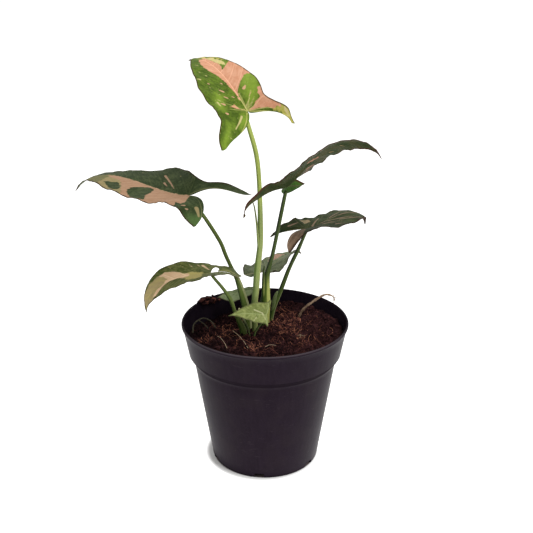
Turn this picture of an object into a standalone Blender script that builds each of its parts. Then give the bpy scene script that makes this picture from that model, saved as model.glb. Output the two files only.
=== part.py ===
"""Potted arrowhead plant: a nursery pot, its soil, eight arrow-shaped leaves on their stems, a bud and a dry stalk.

Driving dimensions are in millimetres and degrees. Meshes are made in metres, with +Z up and the origin at the centre of the pot's base.
The front of the plant, as photographed, faces -Y.
"""
import math
import random

import bpy
import numpy as np

# Pot
POT_HEIGHT = 107.5
POT_RIM_RADIUS = 60.0
POT_COLLAR_FOOT_RADIUS = 55.1
POT_COLLAR_DEPTH = 23.0
POT_BODY_TOP_RADIUS = 51.4
POT_BASE_RADIUS = 39.4
POT_WALL = 1.2
POT_FLOOR = 2.4
POT_SEGMENTS = 56
DRAIN_COUNT = 6
DRAIN_WIDTH = 8.0
DRAIN_HEIGHT = 3.6
DRAIN_FIRST_ANGLE = -96.0

# Soil
SOIL_LEVEL = 99.0
SOIL_WALL_GAP = 0.5
SOIL_SEGMENTS = 56
SOIL_RINGS = 12
MOUND = dict(at=(14.0, -2.0), high=4.5, wide=14.0)
PIT = dict(at=(-28.0, 28.0), high=-13.0, wide=16.0)
LEFT_DIP = dict(at=(-46.0, -4.0), high=-4.0, wide=14.0)
FRONT_RISE = dict(at=(0.0, -50.0), high=2.0, wide=26.0)

# Leaves
BLADE_HALF_THICKNESS = 0.36
MIDRIB_RIDGE = 0.5
STEM_GAP = 0.35

# Each half: width, fold of the half at the junction, middle and tip, how far the lobe reaches back and out,
# the lobe's change of pitch, fold and sweep, the bulge of its inner edge, the margin's width factors at four
# stations from tip to base, the lobe's waist, the sharpness of its end, the wave of the margin, and where the
# notch beside the stem is wide, its width as a share of the lobe's.
LEAVES = {
    "top_leaf": dict(
        at=(-11.4, 3.0, 257.9), length=73, heading=126, turn=9, pitch=(36, 28, -19), roll=(22, 4), rows=22,
        left=dict(width=26, fold=(30, -3, 5), lobe=(33, 29), pitch=26, bend=19, sweep=-30, bulge=0.2,
                  edge=(1.3, 1.07, 1.08, 1.06), waist=0.96, point=0.6, wave=(0.7, 5, 0.4)),
        right=dict(width=19.5, fold=(31, -9, 6), lobe=(22, 31.5), pitch=-30, bend=-60, sweep=19, bulge=-0.4,
                   edge=(1.12, 0.88, 0.9, 0.82), waist=0.72, point=0.8, wave=(0.6, 4, 2.0))),
    "left_leaf": dict(
        at=(-51.9, -6.0, 202.4), length=100, heading=152, turn=4.5, pitch=(-7, 7, -57), roll=(20, 5.5), rows=24,
        left=dict(width=30, fold=(25, -2, 3.5), lobe=(36, 26), pitch=45, bend=-8, sweep=-21, bulge=0.65,
                  edge=(1.05, 1.08, 1.0, 1.0), waist=1.15, point=0.35, wave=(0.9, 5, 1.0)),
        right=dict(width=28.5, fold=(25, -27, 3), lobe=(31.5, 27), pitch=-9, bend=-60, sweep=-8, bulge=0.1,
                   edge=(0.92, 1.0, 1.12, 0.63), waist=0.54, point=0.0, wave=(0.6, 4, 0.0))),
    "right_leaf": dict(
        at=(14.3, -2.0, 207.3), length=86.5, heading=-33.5, turn=9, pitch=(39, 36, -62), roll=(6.5, 56), rows=24,
        left=dict(width=22, fold=(19, 5, -12), lobe=(22.5, 31.5), pitch=16, bend=12, sweep=-31, bulge=0.85,
                  edge=(1.25, 0.95, 0.85, 1.12), waist=0.6, point=-0.6, wave=(1.1, 6, 0.5)),
        right=dict(width=19, fold=(19, -36, -8), lobe=(21, 36), pitch=9, bend=-25, sweep=9, bulge=-0.4,
                   edge=(1.0, 1.0, 0.94, 0.72), waist=0.7, point=1.15, wave=(0.6, 5, 1.5))),
    "middle_leaf": dict(
        at=(29.2, 6.0, 174.8), length=58, heading=24, turn=13.5, pitch=(3, 8, -84), roll=(6.5, -10.5), rows=20,
        left=dict(width=23, fold=(14, -24, 2), lobe=(26, 13.5), pitch=47, bend=8, sweep=-17, bulge=0.25,
                  edge=(1.02, 1.04, 0.92, 0.84), waist=1.0, point=0.9, wave=(0.8, 5, 2.5)),
        right=dict(width=25, fold=(14, -4, 2), lobe=(29.5, 12.5), pitch=23, bend=-33, sweep=25, bulge=0.85,
                   edge=(1.03, 1.06, 1.04, 1.13), waist=1.0, point=0.45, wave=(0.5, 4, 0.0))),
    "low_leaf": dict(
        at=(-37.3, -14.0, 149.5), length=60, heading=180, turn=14, pitch=(-9, -23, -98), roll=(-7.5, 32), rows=20,
        left=dict(width=19, fold=(6, 3, 10), lobe=(21, 18), pitch=31, bend=5, sweep=-6, bulge=1.0,
                  edge=(1.12, 0.95, 0.98, 1.05), waist=0.97, point=0.5, wave=(0.5, 4, 1.0)),
        right=dict(width=19, fold=(4, 2, 11), lobe=(21.5, 18), pitch=49, bend=-11, sweep=-14, bulge=1.35,
                   edge=(1.0, 1.0, 1.0, 0.97), waist=0.88, point=0.45, sinus=0.6, wave=(0.5, 4, 0.0))),
    "back_leaf": dict(
        at=(1.9, 34.0, 133.0), length=47, heading=55, turn=-1.5, pitch=(11, 3, -32), roll=(3, 15), rows=16,
        left=dict(width=13, fold=(11, -10, 12), lobe=(22.5, 13), pitch=5, bend=53, sweep=12, bulge=0.65,
                  edge=(1.0, 1.0, 0.95, 1.0), waist=1.1, point=-1.0, wave=(0.6, 4, 0.0)),
        right=dict(width=14, fold=(11, 14, 12), lobe=(20, 14), pitch=-13, bend=20, sweep=13, bulge=0.5,
                   edge=(1.0, 1.0, 1.0, 1.08), waist=1.0, point=0.45, wave=(0.6, 4, 1.0))),
    "inner_leaf": dict(
        at=(-10.5, 36.0, 115.5), length=26.5, heading=186, turn=3, pitch=(-9, -10, -11), roll=(16, 6), rows=12,
        left=dict(width=11.5, fold=(8, 2, 4), lobe=(3, 3.5), pitch=0, bend=0, sweep=0, bulge=0.5,
                  edge=(2.2, 1.35, 1.0, 0.6), waist=1.0, point=0.2, wave=(0.3, 3, 0.0)),
        right=dict(width=4.2, fold=(8, 2, 4), lobe=(3, 2.8), pitch=0, bend=0, sweep=0, bulge=0.5,
                   edge=(2.1, 1.15, 0.95, 0.9), waist=1.0, point=0.2, wave=(0.3, 3, 1.0))),
    "young_leaf": dict(
        at=(1.0, -17.0, 118.8), length=27, heading=183, turn=4, pitch=(10, 2, -12), roll=(38, 20), rows=12,
        left=dict(width=6.5, fold=(-14, -4, -2), lobe=(2, 7.5), pitch=0, bend=0, sweep=0, bulge=0.4,
                  edge=(0.8, 0.9, 1.0, 1.0), waist=1.0, point=0.4, wave=(0.3, 3, 0.0)),
        right=dict(width=9.5, fold=(10, 2, 0), lobe=(2.5, 11), pitch=0, bend=0, sweep=0, bulge=0.4,
                   edge=(0.8, 0.86, 0.94, 1.0), waist=1.0, point=0.6, wave=(0.3, 3, 2.0))),
}

# Stems: points on the centre line from the blade down into the soil, each with half its width as seen from the
# front and half its depth. The sheathed lower ends are wide and flat.
STEMS = {
    "top_stem": [(-12.6, 3.2, 253.4, 1.0, 0.9), (-10.8, 4.0, 247.0, 1.5, 1.3), (-5.7, 5.0, 226.8, 1.6, 1.4),
                 (-3.8, 5.0, 205.0, 1.6, 1.4), (-3.2, 4.0, 178.0, 1.9, 1.4), (-3.4, 2.5, 163.8, 2.0, 1.5),
                 (-5.4, 0.0, 146.0, 2.3, 1.6), (-6.4, -2.0, 132.2, 2.3, 1.6), (-7.4, -3.0, 119.7, 2.1, 1.6),
                 (-7.2, -4.0, 107.0, 2.0, 1.6), (-7.0, -4.0, 88.0, 1.8, 1.6)],
    "left_stem": [(-50.0, -5.4, 197.2, 1.0, 1.0), (-42.5, -2.0, 187.1, 1.3, 1.2), (-31.7, 2.5, 166.9, 1.4, 1.3),
                  (-27.7, 4.5, 155.4, 1.4, 1.4), (-23.8, 6.0, 145.2, 1.4, 1.3), (-20.2, 6.5, 137.2, 1.8, 1.4),
                  (-17.3, 6.0, 128.1, 2.4, 1.5), (-13.8, 5.0, 114.4, 2.8, 1.6), (-12.2, 4.2, 101.4, 2.6, 1.7),
                  (-12.0, 4.0, 88.0, 2.2, 1.6)],
    "right_stem": [(14.2, -1.7, 203.6, 1.0, 1.0), (13.5, -1.5, 200.6, 1.3, 1.2), (9.7, 0.0, 180.0, 1.4, 1.3),
                   (5.4, 2.0, 157.1, 1.4, 1.3), (1.5, 3.4, 140.7, 2.1, 1.4), (0.6, 4.0, 128.9, 2.8, 1.5),
                   (0.4, 4.0, 118.8, 3.2, 1.6), (0.2, 4.0, 106.9, 2.8, 1.6), (0.0, 4.0, 88.0, 2.4, 1.6)],
    "middle_stem": [(28.6, 6.2, 171.6, 1.0, 1.0), (23.3, 7.0, 158.6, 1.4, 1.3), (21.6, 7.4, 154.5, 1.4, 1.3),
                    (17.1, 8.4, 143.6, 1.4, 1.3), (11.6, 10.0, 127.2, 1.6, 1.4), (6.8, 12.0, 113.1, 1.6, 1.4),
                    (4.4, 13.0, 102.8, 1.7, 1.5), (3.4, 13.4, 88.0, 1.6, 1.5)],
    "low_stem": [(-36.2, -14.0, 146.8, 0.9, 0.9), (-34.4, -13.8, 144.4, 1.1, 1.1), (-28.4, -13.0, 136.2, 1.2, 1.1),
                 (-23.7, -12.0, 127.6, 1.4, 1.2), (-21.2, -10.5, 118.6, 1.3, 1.2), (-18.2, -9.0, 110.5, 2.1, 1.3),
                 (-15.4, -8.0, 101.8, 2.6, 1.5), (-14.4, -7.6, 88.0, 2.2, 1.5)],
    "back_stem": [(1.6, 33.6, 130.0, 0.8, 0.8), (1.0, 31.0, 125.6, 1.1, 1.1), (-0.8, 26.0, 118.0, 1.2, 1.2),
                  (-3.4, 20.4, 109.0, 1.3, 1.3), (-4.6, 18.0, 98.0, 1.3, 1.3), (-4.6, 17.6, 86.0, 1.3, 1.3)],
    "inner_stem": [(-9.9, 35.7, 113.9, 0.7, 0.7), (-9.5, 34.2, 110.2, 0.9, 0.9), (-10.4, 29.8, 103.2, 1.0, 1.0),
                   (-11.2, 25.0, 96.0, 1.0, 1.0), (-11.4, 23.0, 84.0, 1.0, 1.0)],
    "young_stem": [(0.6, -15.6, 116.4, 0.6, 0.6), (-1.2, -14.4, 112.6, 0.8, 0.8), (-4.8, -13.4, 107.6, 0.8, 0.8),
                   (-7.6, -13.2, 101.0, 0.8, 0.8), (-8.2, -13.2, 88.0, 0.8, 0.8)],
    "bud_shoot": [(-18.2, -8.0, 119.4, 0.6, 0.6), (-17.4, -8.0, 116.4, 1.0, 0.9), (-15.2, -9.4, 112.1, 0.8, 0.8),
                  (-12.6, -11.0, 107.6, 0.6, 0.6), (-11.0, -12.0, 101.6, 0.6, 0.6), (-11.0, -12.0, 88.0, 0.6, 0.6)],
    "dry_stalk": [(51.9, 26.0, 111.0, 0.4, 0.4), (50.6, 26.0, 114.4, 0.6, 0.6), (46.2, 25.0, 116.5, 0.7, 0.6),
                  (42.0, 24.0, 115.6, 0.8, 0.7), (36.2, 23.0, 112.0, 0.9, 0.8), (30.4, 22.0, 107.8, 0.9, 0.8),
                  (26.4, 22.0, 102.4, 0.9, 0.8), (24.6, 22.0, 96.0, 0.9, 0.8), (24.2, 22.0, 88.0, 0.8, 0.8)],
}

# The free tip of the sheath on three of the stems; its root sinks into the stem.
SHEATHS = {
    "top_stem": [(-8.3, 2.6, 195.0, 0.35, 0.35), (-7.3, 2.4, 191.6, 0.5, 0.4), (-6.3, 2.1, 185.0, 0.6, 0.4),
                 (-5.4, 1.7, 176.0, 0.7, 0.45), (-4.9, 1.4, 168.0, 0.8, 0.5), (-4.4, 1.6, 158.0, 0.6, 0.5)],
    "right_stem": [(-0.5, 1.6, 148.3, 0.35, 0.35), (-0.9, 1.5, 144.4, 0.8, 0.45), (-1.1, 1.9, 138.0, 1.1, 0.5),
                   (-1.3, 2.6, 130.0, 1.0, 0.6), (-0.8, 3.4, 120.0, 0.8, 0.6)],
    "middle_stem": [(9.1, 5.6, 127.1, 0.4, 0.35), (8.1, 6.6, 124.8, 1.1, 0.45), (6.8, 8.6, 119.4, 1.4, 0.5),
                    (5.9, 10.8, 113.0, 1.2, 0.6), (4.8, 12.6, 106.0, 0.8, 0.6)],
}

COLOURS = {
    "pot": (0.03, 0.026, 0.034), "soil": (0.09, 0.035, 0.02), "rim_crumbs": (0.09, 0.035, 0.02),
    "blade": (0.12, 0.2, 0.06), "stem": (0.22, 0.3, 0.07), "dry_stalk": (0.3, 0.22, 0.13),
}


def clear_scene():
    for obj in list(bpy.data.objects):
        bpy.data.objects.remove(obj, do_unlink=True)


def make_object(name, verts, faces, colour):
    """Millimetre points to a mesh object in metres with its own material."""
    mesh = bpy.data.meshes.new(name)
    mesh.from_pydata([tuple(float(c) / 1000.0 for c in v) for v in verts], [], [tuple(int(i) for i in f) for f in faces])
    mesh.validate()
    mesh.update()
    obj = bpy.data.objects.new(name, mesh)
    bpy.context.scene.collection.objects.link(obj)
    mat = bpy.data.materials.new(name)
    mat.use_nodes = True
    mat.node_tree.nodes["Principled BSDF"].inputs["Base Color"].default_value = (*colour, 1.0)
    mat.node_tree.nodes["Principled BSDF"].inputs["Roughness"].default_value = 0.55
    obj.data.materials.append(mat)
    return obj


def smooth_path(points, count):
    """Catmull-Rom curve through the points, spaced evenly along its length."""
    pts = np.array(points, float)
    ext = np.vstack([2 * pts[0] - pts[1], pts, 2 * pts[-1] - pts[-2]])
    dense = []
    for i in range(len(pts) - 1):
        a, b, c, d = ext[i:i + 4]
        for u in np.linspace(0, 1, 24, endpoint=False):
            dense.append(0.5 * (2 * b + (c - a) * u + (2 * a - 5 * b + 4 * c - d) * u ** 2 + (3 * b - a - 3 * c + d) * u ** 3))
    dense.append(pts[-1])
    dense = np.array(dense)
    run = np.concatenate([[0], np.cumsum(np.linalg.norm(np.diff(dense[:, :3], axis=0), axis=1))])
    at = np.linspace(0, run[-1], count)
    return np.stack([np.interp(at, run, dense[:, k]) for k in range(dense.shape[1])], -1)


def tube(points, spacing=6.0, sides=10, grow=0.0, reach=0.0):
    """A closed tube along the points; each point carries its half width and half depth."""
    length = sum(math.dist(points[i][:3], points[i + 1][:3]) for i in range(len(points) - 1))
    path = smooth_path(points, max(6, int(length / spacing)))
    verts, faces = [], []
    for i, p in enumerate(path):
        tangent = path[min(i + 1, len(path) - 1), :3] - path[max(i - 1, 0), :3]
        tangent /= np.linalg.norm(tangent)
        side = np.cross(tangent, (0, 1, 0))
        side /= np.linalg.norm(side)
        depth = np.cross(side, tangent)
        centre = p[:3] + (tangent * reach if i == len(path) - 1 else 0)
        for k in range(sides):
            a = 2 * math.pi * k / sides
            verts.append(centre + side * (p[3] + grow) * math.cos(a) + depth * (p[4] + grow) * math.sin(a))
    rings = len(path)
    for i in range(rings - 1):
        for k in range(sides):
            n = (k + 1) % sides
            faces.append((i * sides + k, i * sides + n, (i + 1) * sides + n, (i + 1) * sides + k))
    faces.append(tuple(range(sides))[::-1])
    faces.append(tuple(range((rings - 1) * sides, rings * sides)))
    return verts, faces


def face_out(obj):
    """Turn every face outward, so that the body's volume is positive."""
    mesh = obj.data
    volume = 0.0
    mesh.calc_loop_triangles()
    for t in mesh.loop_triangles:
        a, b, c = (mesh.vertices[i].co for i in t.vertices)
        volume += a.dot(b.cross(c))
    if volume < 0:
        mesh.flip_normals()
    return obj


def ease(x):
    x = np.clip(x, 0, 1)
    return x * x * (3 - 2 * x)


def through(q, a, b, c):
    """Quadratic that is a at 0, b at one half and c at 1."""
    return a * (1 - q) * (1 - 2 * q) + 4 * b * q * (1 - q) + c * q * (2 * q - 1)


def frames(heading, pitch, roll):
    """Forward, right-hand and upward directions along a leaf, from angles in degrees."""
    h, p, r = np.radians(heading), np.radians(pitch), np.radians(roll)
    forward = np.stack([np.cos(p) * np.cos(h), np.cos(p) * np.sin(h), np.sin(p)], -1)
    level = np.stack([np.sin(h), -np.cos(h), np.zeros_like(h)], -1)
    up = np.cross(level, forward)
    right = np.cos(r)[:, None] * level + np.sin(r)[:, None] * up
    return forward, right, np.cross(right, forward)


def walk(forward, step):
    mid = 0.5 * (forward[1:] + forward[:-1])
    mid /= np.linalg.norm(mid, axis=1)[:, None]
    return np.concatenate([[[0, 0, 0]], np.cumsum(mid * step, 0)])


def blade_point(leaf, half, side, s, t):
    """Where the flat leaf's point s along and t out from the midrib lies in space."""
    s, t = np.asarray(s, float), np.asarray(t, float)
    q = np.linspace(0, 1, 97)
    length = leaf["length"]
    forward, right, up = frames(leaf["heading"] + leaf["turn"] * q, through(q, *leaf["pitch"]),
                                leaf["roll"][0] + (leaf["roll"][1] - leaf["roll"][0]) * q)
    spine = np.array(leaf["at"]) + walk(forward, length / 96)
    back = half["lobe"][0]
    r = np.linspace(0, 1.2, 49)
    b_forward, b_right, b_up = frames(leaf["heading"] + half["sweep"] * ease(r), leaf["pitch"][0] + half["pitch"] * ease(r),
                                      np.full_like(r, leaf["roll"][0]))
    b_spine = np.array(leaf["at"]) - walk(b_forward, back * 1.2 / 48)

    def pick(front, rear):
        f = np.stack([np.interp(np.clip(s / length, 0, 1), q, front[:, k]) for k in range(3)], -1)
        b = np.stack([np.interp(np.clip(-s / back, 0, 1.2), r, rear[:, k]) for k in range(3)], -1)
        return np.where((s < 0)[..., None], b, f)

    base, out, normal = pick(spine, b_spine), pick(right, b_right), pick(up, b_up)
    qf = np.clip(s / length, 0, 1)
    f0, fm, f1 = half["fold"]
    fold = np.radians(f0 + (f1 - f0) * qf + 4 * qf * (1 - qf) * fm + half["bend"] * ease(-s / back))
    amount, count, phase = half["wave"]
    wave = amount * np.clip(t / half["width"], 0, 1.3) ** 2 * np.sin(2 * math.pi * count * s / length + phase)
    wave = wave * ease((length - s) / (0.3 * length))
    return base + side * out * (t * np.cos(fold))[..., None] + normal * (t * np.sin(fold) + wave)[..., None]


def half_outline(leaf, half):
    """Flat outer margin from the lobe's end to the leaf's tip, and the lobe's inner edge from its end to the junction."""
    length, w = leaf["length"], half["width"]
    back, out = half["lobe"]
    m8, m5, m2, m0 = half["edge"]
    waist, point, bulge = half["waist"], half["point"], half["bulge"]
    outer = [(length, 0), (0.955 * length, 0.045 * w), (0.89 * length, 0.13 * w * m8), (0.78 * length, 0.33 * w * m8),
             (0.64 * length, 0.60 * w * (m8 + m5) / 2), (0.48 * length, 0.83 * w * m5), (0.32 * length, 0.96 * w * m2),
             (0.16 * length, w * (m2 + m0) / 2), (0.03 * length, 0.97 * w * m0),
             (-0.30 * back, (0.30 * w * m0 + 0.70 * out) * 0.98 * waist), (-0.62 * back, out * (0.5 + 0.5 * waist) * 1.06),
             (-0.88 * back, out * (1.06 - 0.05 * point)), (-back, out)]
    inner = [(-back, out), (-(0.99 - 0.03 * point) * back, out * (0.86 + 0.06 * point)),
             (-0.80 * back, out * (0.42 + 0.25 * (1 - bulge) + 0.14 * point)),
             (-0.45 * back, out * (0.16 + 0.16 * (1 - bulge))), (-0.15 * back, out * half.get("sinus", 0.05)), (0, 0)]
    outer = smooth_path([(s, t, 0) for s, t in outer[::-1]], 240)[:, :2]
    inner = smooth_path([(s, t, 0) for s, t in inner], 60)[:, :2]
    return outer, inner


def half_grid(leaf, half, lobe_rows, rows, cols):
    """Flat points of one half: rows run from the lobe's end past the junction to the leaf's tip."""
    outer, inner = half_outline(leaf, half)
    o_run = np.concatenate([[0], np.cumsum(np.linalg.norm(np.diff(outer, axis=0), axis=1))])
    i_run = np.concatenate([[0], np.cumsum(np.linalg.norm(np.diff(inner, axis=0), axis=1))])
    split = o_run[np.argmin(np.abs(outer[:, 0] - 0.07 * leaf["length"]))]
    u = np.linspace(0, 1, lobe_rows + 1)
    u = 0.6 * u + 0.4 * u ** 0.7
    edge_l = np.stack([np.interp(u * split, o_run, outer[:, k]) for k in (0, 1)], -1)
    mid_l = np.stack([np.interp(u * i_run[-1], i_run, inner[:, k]) for k in (0, 1)], -1)
    v = np.linspace(0, 1, rows + 1)[1:]
    v = 0.75 * v + 0.25 * (1 - (1 - v) ** 2)
    edge_m = np.stack([np.interp(split + v * (o_run[-1] - split), o_run, outer[:, k]) for k in (0, 1)], -1)
    mid_m = np.stack([v * leaf["length"], 0 * v], -1)
    edge, mid = np.vstack([edge_l, edge_m]), np.vstack([mid_l, mid_m])
    c = np.linspace(0, 1, cols + 1)[None, :, None]
    return mid[:, None] * (1 - c) + edge[:, None] * c


def blade_sheet(leaf):
    """The blade's middle surface: points, triangles, and how close each point is to the midrib."""
    rows = leaf["rows"]
    lobe_rows = max(3, int(rows * 0.4))
    cols = 5 if rows > 14 else 4
    points, tris, ridge, index = [], [], [], {}
    for side, key in ((-1, "left"), (1, "right")):
        half = leaf[key]
        grid = half_grid(leaf, half, lobe_rows, rows, cols)
        space = blade_point(leaf, half, side, grid[..., 0], np.maximum(grid[..., 1], 0))
        last = grid.shape[0] - 1
        for i in range(last + 1):
            for j in range(cols + 1):
                if i == 0:
                    tag = (side, 0, 0)
                elif i == last:
                    tag = ("tip",)
                elif j == 0 and i >= lobe_rows:
                    tag = ("mid", i)
                else:
                    tag = (side, i, j)
                if tag not in index:
                    index[tag] = len(points)
                    points.append(space[i, j])
                    along = grid[i, j, 0] / leaf["length"]
                    ridge.append(max(0.0, 1 - along) if tag[0] == "mid" else 0.0)
                index[(key, i, j)] = index[tag]
        for i in range(last):
            for j in range(cols):
                a, b = index[(key, i, j)], index[(key, i + 1, j)]
                c, d = index[(key, i + 1, j + 1)], index[(key, i, j + 1)]
                for tri in ((a, b, c), (a, c, d)):
                    if len(set(tri)) == 3:
                        tris.append(tri if side < 0 else tri[::-1])
    return np.array(points), tris, np.array(ridge)


def make_blade(name, leaf):
    """A closed blade: the sheet moved out to both sides, with the rim joined and a ridge under the midrib."""
    points, tris, ridge = blade_sheet(leaf)
    normal = np.zeros_like(points)
    for t in tris:
        n = np.cross(points[t[1]] - points[t[0]], points[t[2]] - points[t[0]])
        for i in t:
            normal[i] += n
    normal /= np.linalg.norm(normal, axis=1)[:, None]
    if normal[:, 2].mean() < 0:
        normal = -normal
        tris = [t[::-1] for t in tris]
    top = points + normal * BLADE_HALF_THICKNESS
    low = points - normal * (BLADE_HALF_THICKNESS + MIDRIB_RIDGE * ridge ** 0.6)[:, None]
    n = len(points)
    faces = [t for t in tris] + [tuple(i + n for i in t[::-1]) for t in tris]
    edges = {}
    for t in tris:
        for a, b in ((t[0], t[1]), (t[1], t[2]), (t[2], t[0])):
            edges[(a, b)] = True
    for a, b in edges:
        if (b, a) not in edges:
            faces.append((b, a, a + n))
            faces.append((b, a + n, b + n))
    return face_out(make_object(name, np.vstack([top, low]), faces, COLOURS["blade"]))


def revolve(name, profile, segments, colour, height=None):
    """A closed solid of revolution; the profile starts and ends on the axis."""
    verts, faces = [], []
    verts.append((0, 0, profile[0][1]))
    for r, z in profile[1:-1]:
        for k in range(segments):
            a = 2 * math.pi * k / segments
            verts.append((r * math.cos(a), r * math.sin(a), z))
    verts.append((0, 0, profile[-1][1]))
    rings = len(profile) - 2
    for k in range(segments):
        n = (k + 1) % segments
        faces.append((0, 1 + n, 1 + k))
        for i in range(rings - 1):
            a, b = 1 + i * segments, 1 + (i + 1) * segments
            faces.append((a + k, a + n, b + n, b + k))
        faces.append((1 + (rings - 1) * segments + k, 1 + (rings - 1) * segments + n, len(verts) - 1))
    return face_out(make_object(name, verts, faces, colour))


def combine(obj, cutter, operation="DIFFERENCE"):
    """Cut the second object out of the first, or join it on, and remove it."""
    mod = obj.modifiers.new("combine", "BOOLEAN")
    mod.operation = operation
    mod.solver = "EXACT"
    mod.object = cutter
    graph = bpy.context.evaluated_depsgraph_get()
    mesh = bpy.data.meshes.new_from_object(obj.evaluated_get(graph))
    obj.modifiers.clear()
    old = obj.data
    obj.data = mesh
    bpy.data.meshes.remove(old)
    bpy.data.objects.remove(cutter, do_unlink=True)


def wall_radius(z):
    """Inner radius of the pot at height z."""
    step = POT_HEIGHT - POT_COLLAR_DEPTH
    z_keys = [POT_FLOOR, step - 7.5, step - 3.5, step, POT_HEIGHT - 2.5, POT_HEIGHT]
    r_keys = [POT_BASE_RADIUS + 0.3, POT_BODY_TOP_RADIUS - 0.1, POT_BODY_TOP_RADIUS + 0.7, POT_COLLAR_FOOT_RADIUS,
              POT_RIM_RADIUS - 0.6, POT_RIM_RADIUS - 0.4]
    return float(np.interp(z, z_keys, r_keys)) - POT_WALL


def make_pot():
    step = POT_HEIGHT - POT_COLLAR_DEPTH
    outer = [(0, 0), (22, 0), (23, 1.0), (32, 1.0), (33, 0), (POT_BASE_RADIUS - 0.9, 0), (POT_BASE_RADIUS, 0.9),
             (POT_BODY_TOP_RADIUS - 0.2, step - 8.0), (POT_BODY_TOP_RADIUS + 0.6, step - 4.0),
             (POT_COLLAR_FOOT_RADIUS - 0.5, step - 0.6), (POT_COLLAR_FOOT_RADIUS + 0.1, step + 0.6),
             (POT_RIM_RADIUS - 0.9, POT_HEIGHT - 2.6), (POT_RIM_RADIUS, POT_HEIGHT - 1.9), (POT_RIM_RADIUS, POT_HEIGHT - 0.5),
             (POT_RIM_RADIUS - 0.5, POT_HEIGHT)]
    inner = [(POT_RIM_RADIUS - 1.2, POT_HEIGHT)]
    inner += [(wall_radius(z), z) for z in (POT_HEIGHT - 2.5, step + 0.2, step - 3.6, step - 7.6)]
    inner += [(wall_radius(POT_FLOOR) - 0.4, POT_FLOOR + 0.5), (wall_radius(POT_FLOOR) - 1.2, POT_FLOOR), (0, POT_FLOOR)]
    pot = revolve("pot", outer + inner, POT_SEGMENTS, COLOURS["pot"])
    for k in range(DRAIN_COUNT):
        a = math.radians(DRAIN_FIRST_ANGLE + 360.0 * k / DRAIN_COUNT)
        low, high = POT_BASE_RADIUS - 4.5, POT_BASE_RADIUS + 4.0
        corners = []
        for z in (-1.0, DRAIN_HEIGHT):
            for r, t in ((low, -1), (high, -1), (high, 1), (low, 1)):
                x, y = r, t * DRAIN_WIDTH / 2 * (1.0 if z < 0 else 0.8)
                corners.append((x * math.cos(a) - y * math.sin(a), x * math.sin(a) + y * math.cos(a), z))
        quads = [(3, 2, 1, 0), (4, 5, 6, 7), (0, 1, 5, 4), (1, 2, 6, 5), (2, 3, 7, 6), (3, 0, 4, 7)]
        combine(pot, face_out(make_object("drain_cutter", corners, quads, COLOURS["pot"])))
    return pot


def soil_height(x, y):
    """Height of the soil with its mound, hollows and crumbs."""
    z = SOIL_LEVEL
    for lump in (MOUND, PIT, LEFT_DIP, FRONT_RISE):
        d2 = (x - lump["at"][0]) ** 2 + (y - lump["at"][1]) ** 2
        z += lump["high"] * math.exp(-d2 / (2 * lump["wide"] ** 2))
    z += 0.7 * math.sin(0.31 * x + 1.3) * math.sin(0.27 * y + 0.4) + 0.5 * math.sin(0.53 * x - 0.41 * y)
    return z


def make_soil():
    """Soil that fills the pot to just below the rim, with a plain hole for each stem that stands in it."""
    rng = random.Random(5)
    step = POT_HEIGHT - POT_COLLAR_DEPTH
    verts = [(0, 0, POT_FLOOR + 0.6)]
    low = [(wall_radius(z) - SOIL_WALL_GAP - less, z + up) for z, less, up in
           ((POT_FLOOR, 1.4, 0.6), (POT_FLOOR + 3.0, 0.2, 0), (step - 7.6, 0, 0), (step - 3.6, 0, 0), (step + 0.2, 0.1, 0))]
    for r, z in low:
        for k in range(SOIL_SEGMENTS):
            a = 2 * math.pi * k / SOIL_SEGMENTS
            verts.append((r * math.cos(a), r * math.sin(a), z))
    for i in range(SOIL_RINGS):
        f = 1.0 - (i / SOIL_RINGS) ** 0.9
        for k in range(SOIL_SEGMENTS):
            a = 2 * math.pi * (k + 0.5 * (i % 2)) / SOIL_SEGMENTS
            x, y = 55 * f * math.cos(a), 55 * f * math.sin(a)
            z = min(soil_height(x, y) + (rng.uniform(-0.7, 0.9) if i else 0), POT_HEIGHT - 1.5)
            r = (wall_radius(z) - SOIL_WALL_GAP - 0.1) * f if i == 0 else 55 * f
            verts.append((r * math.cos(a), r * math.sin(a), z))
    verts.append((0, 0, soil_height(0, 0)))
    rings = len(low) + SOIL_RINGS
    faces = []
    for k in range(SOIL_SEGMENTS):
        n = (k + 1) % SOIL_SEGMENTS
        faces.append((0, 1 + n, 1 + k))
        for i in range(rings - 1):
            a, b = 1 + i * SOIL_SEGMENTS, 1 + (i + 1) * SOIL_SEGMENTS
            if i < len(low):
                faces += [(a + k, a + n, b + n), (a + k, b + n, b + k)]
            elif (i - len(low)) % 2 == 0:
                faces += [(a + k, a + n, b + k), (a + n, b + n, b + k)]
            else:
                faces += [(a + k, a + n, b + n), (a + k, b + n, b + k)]
        faces.append((1 + (rings - 1) * SOIL_SEGMENTS + k, 1 + (rings - 1) * SOIL_SEGMENTS + n, len(verts) - 1))
    soil = face_out(make_object("soil", verts, faces, COLOURS["soil"]))
    for points in STEMS.values():
        near = [p for p in points if p[2] < 122.0]
        v, f = tube(near, spacing=5.0, sides=10, grow=STEM_GAP, reach=1.0)
        combine(soil, face_out(make_object("stem_cutter", v, f, COLOURS["soil"])))
    return soil


def make_rim_crumbs():
    """A crumb of soil lying on the rim at the back left."""
    points = []
    for i, r in enumerate((0.5, 1.0, 1.4, 1.6, 1.6, 1.5, 1.1, 0.5)):
        a = math.radians(129 + 3.1 * i)
        points.append(((58.0 + 0.5 * math.sin(2 * i)) * math.cos(a), (58.0 + 0.5 * math.sin(2 * i)) * math.sin(a),
                       POT_HEIGHT + 0.3 + r, r * 1.3, r * 0.98))
    verts, faces = tube(points, spacing=1.8, sides=9)
    verts = [(v[0], v[1], max(v[2], POT_HEIGHT + 0.3)) for v in verts]
    return face_out(make_object("rim_crumbs", verts, faces, COLOURS["rim_crumbs"]))


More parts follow.
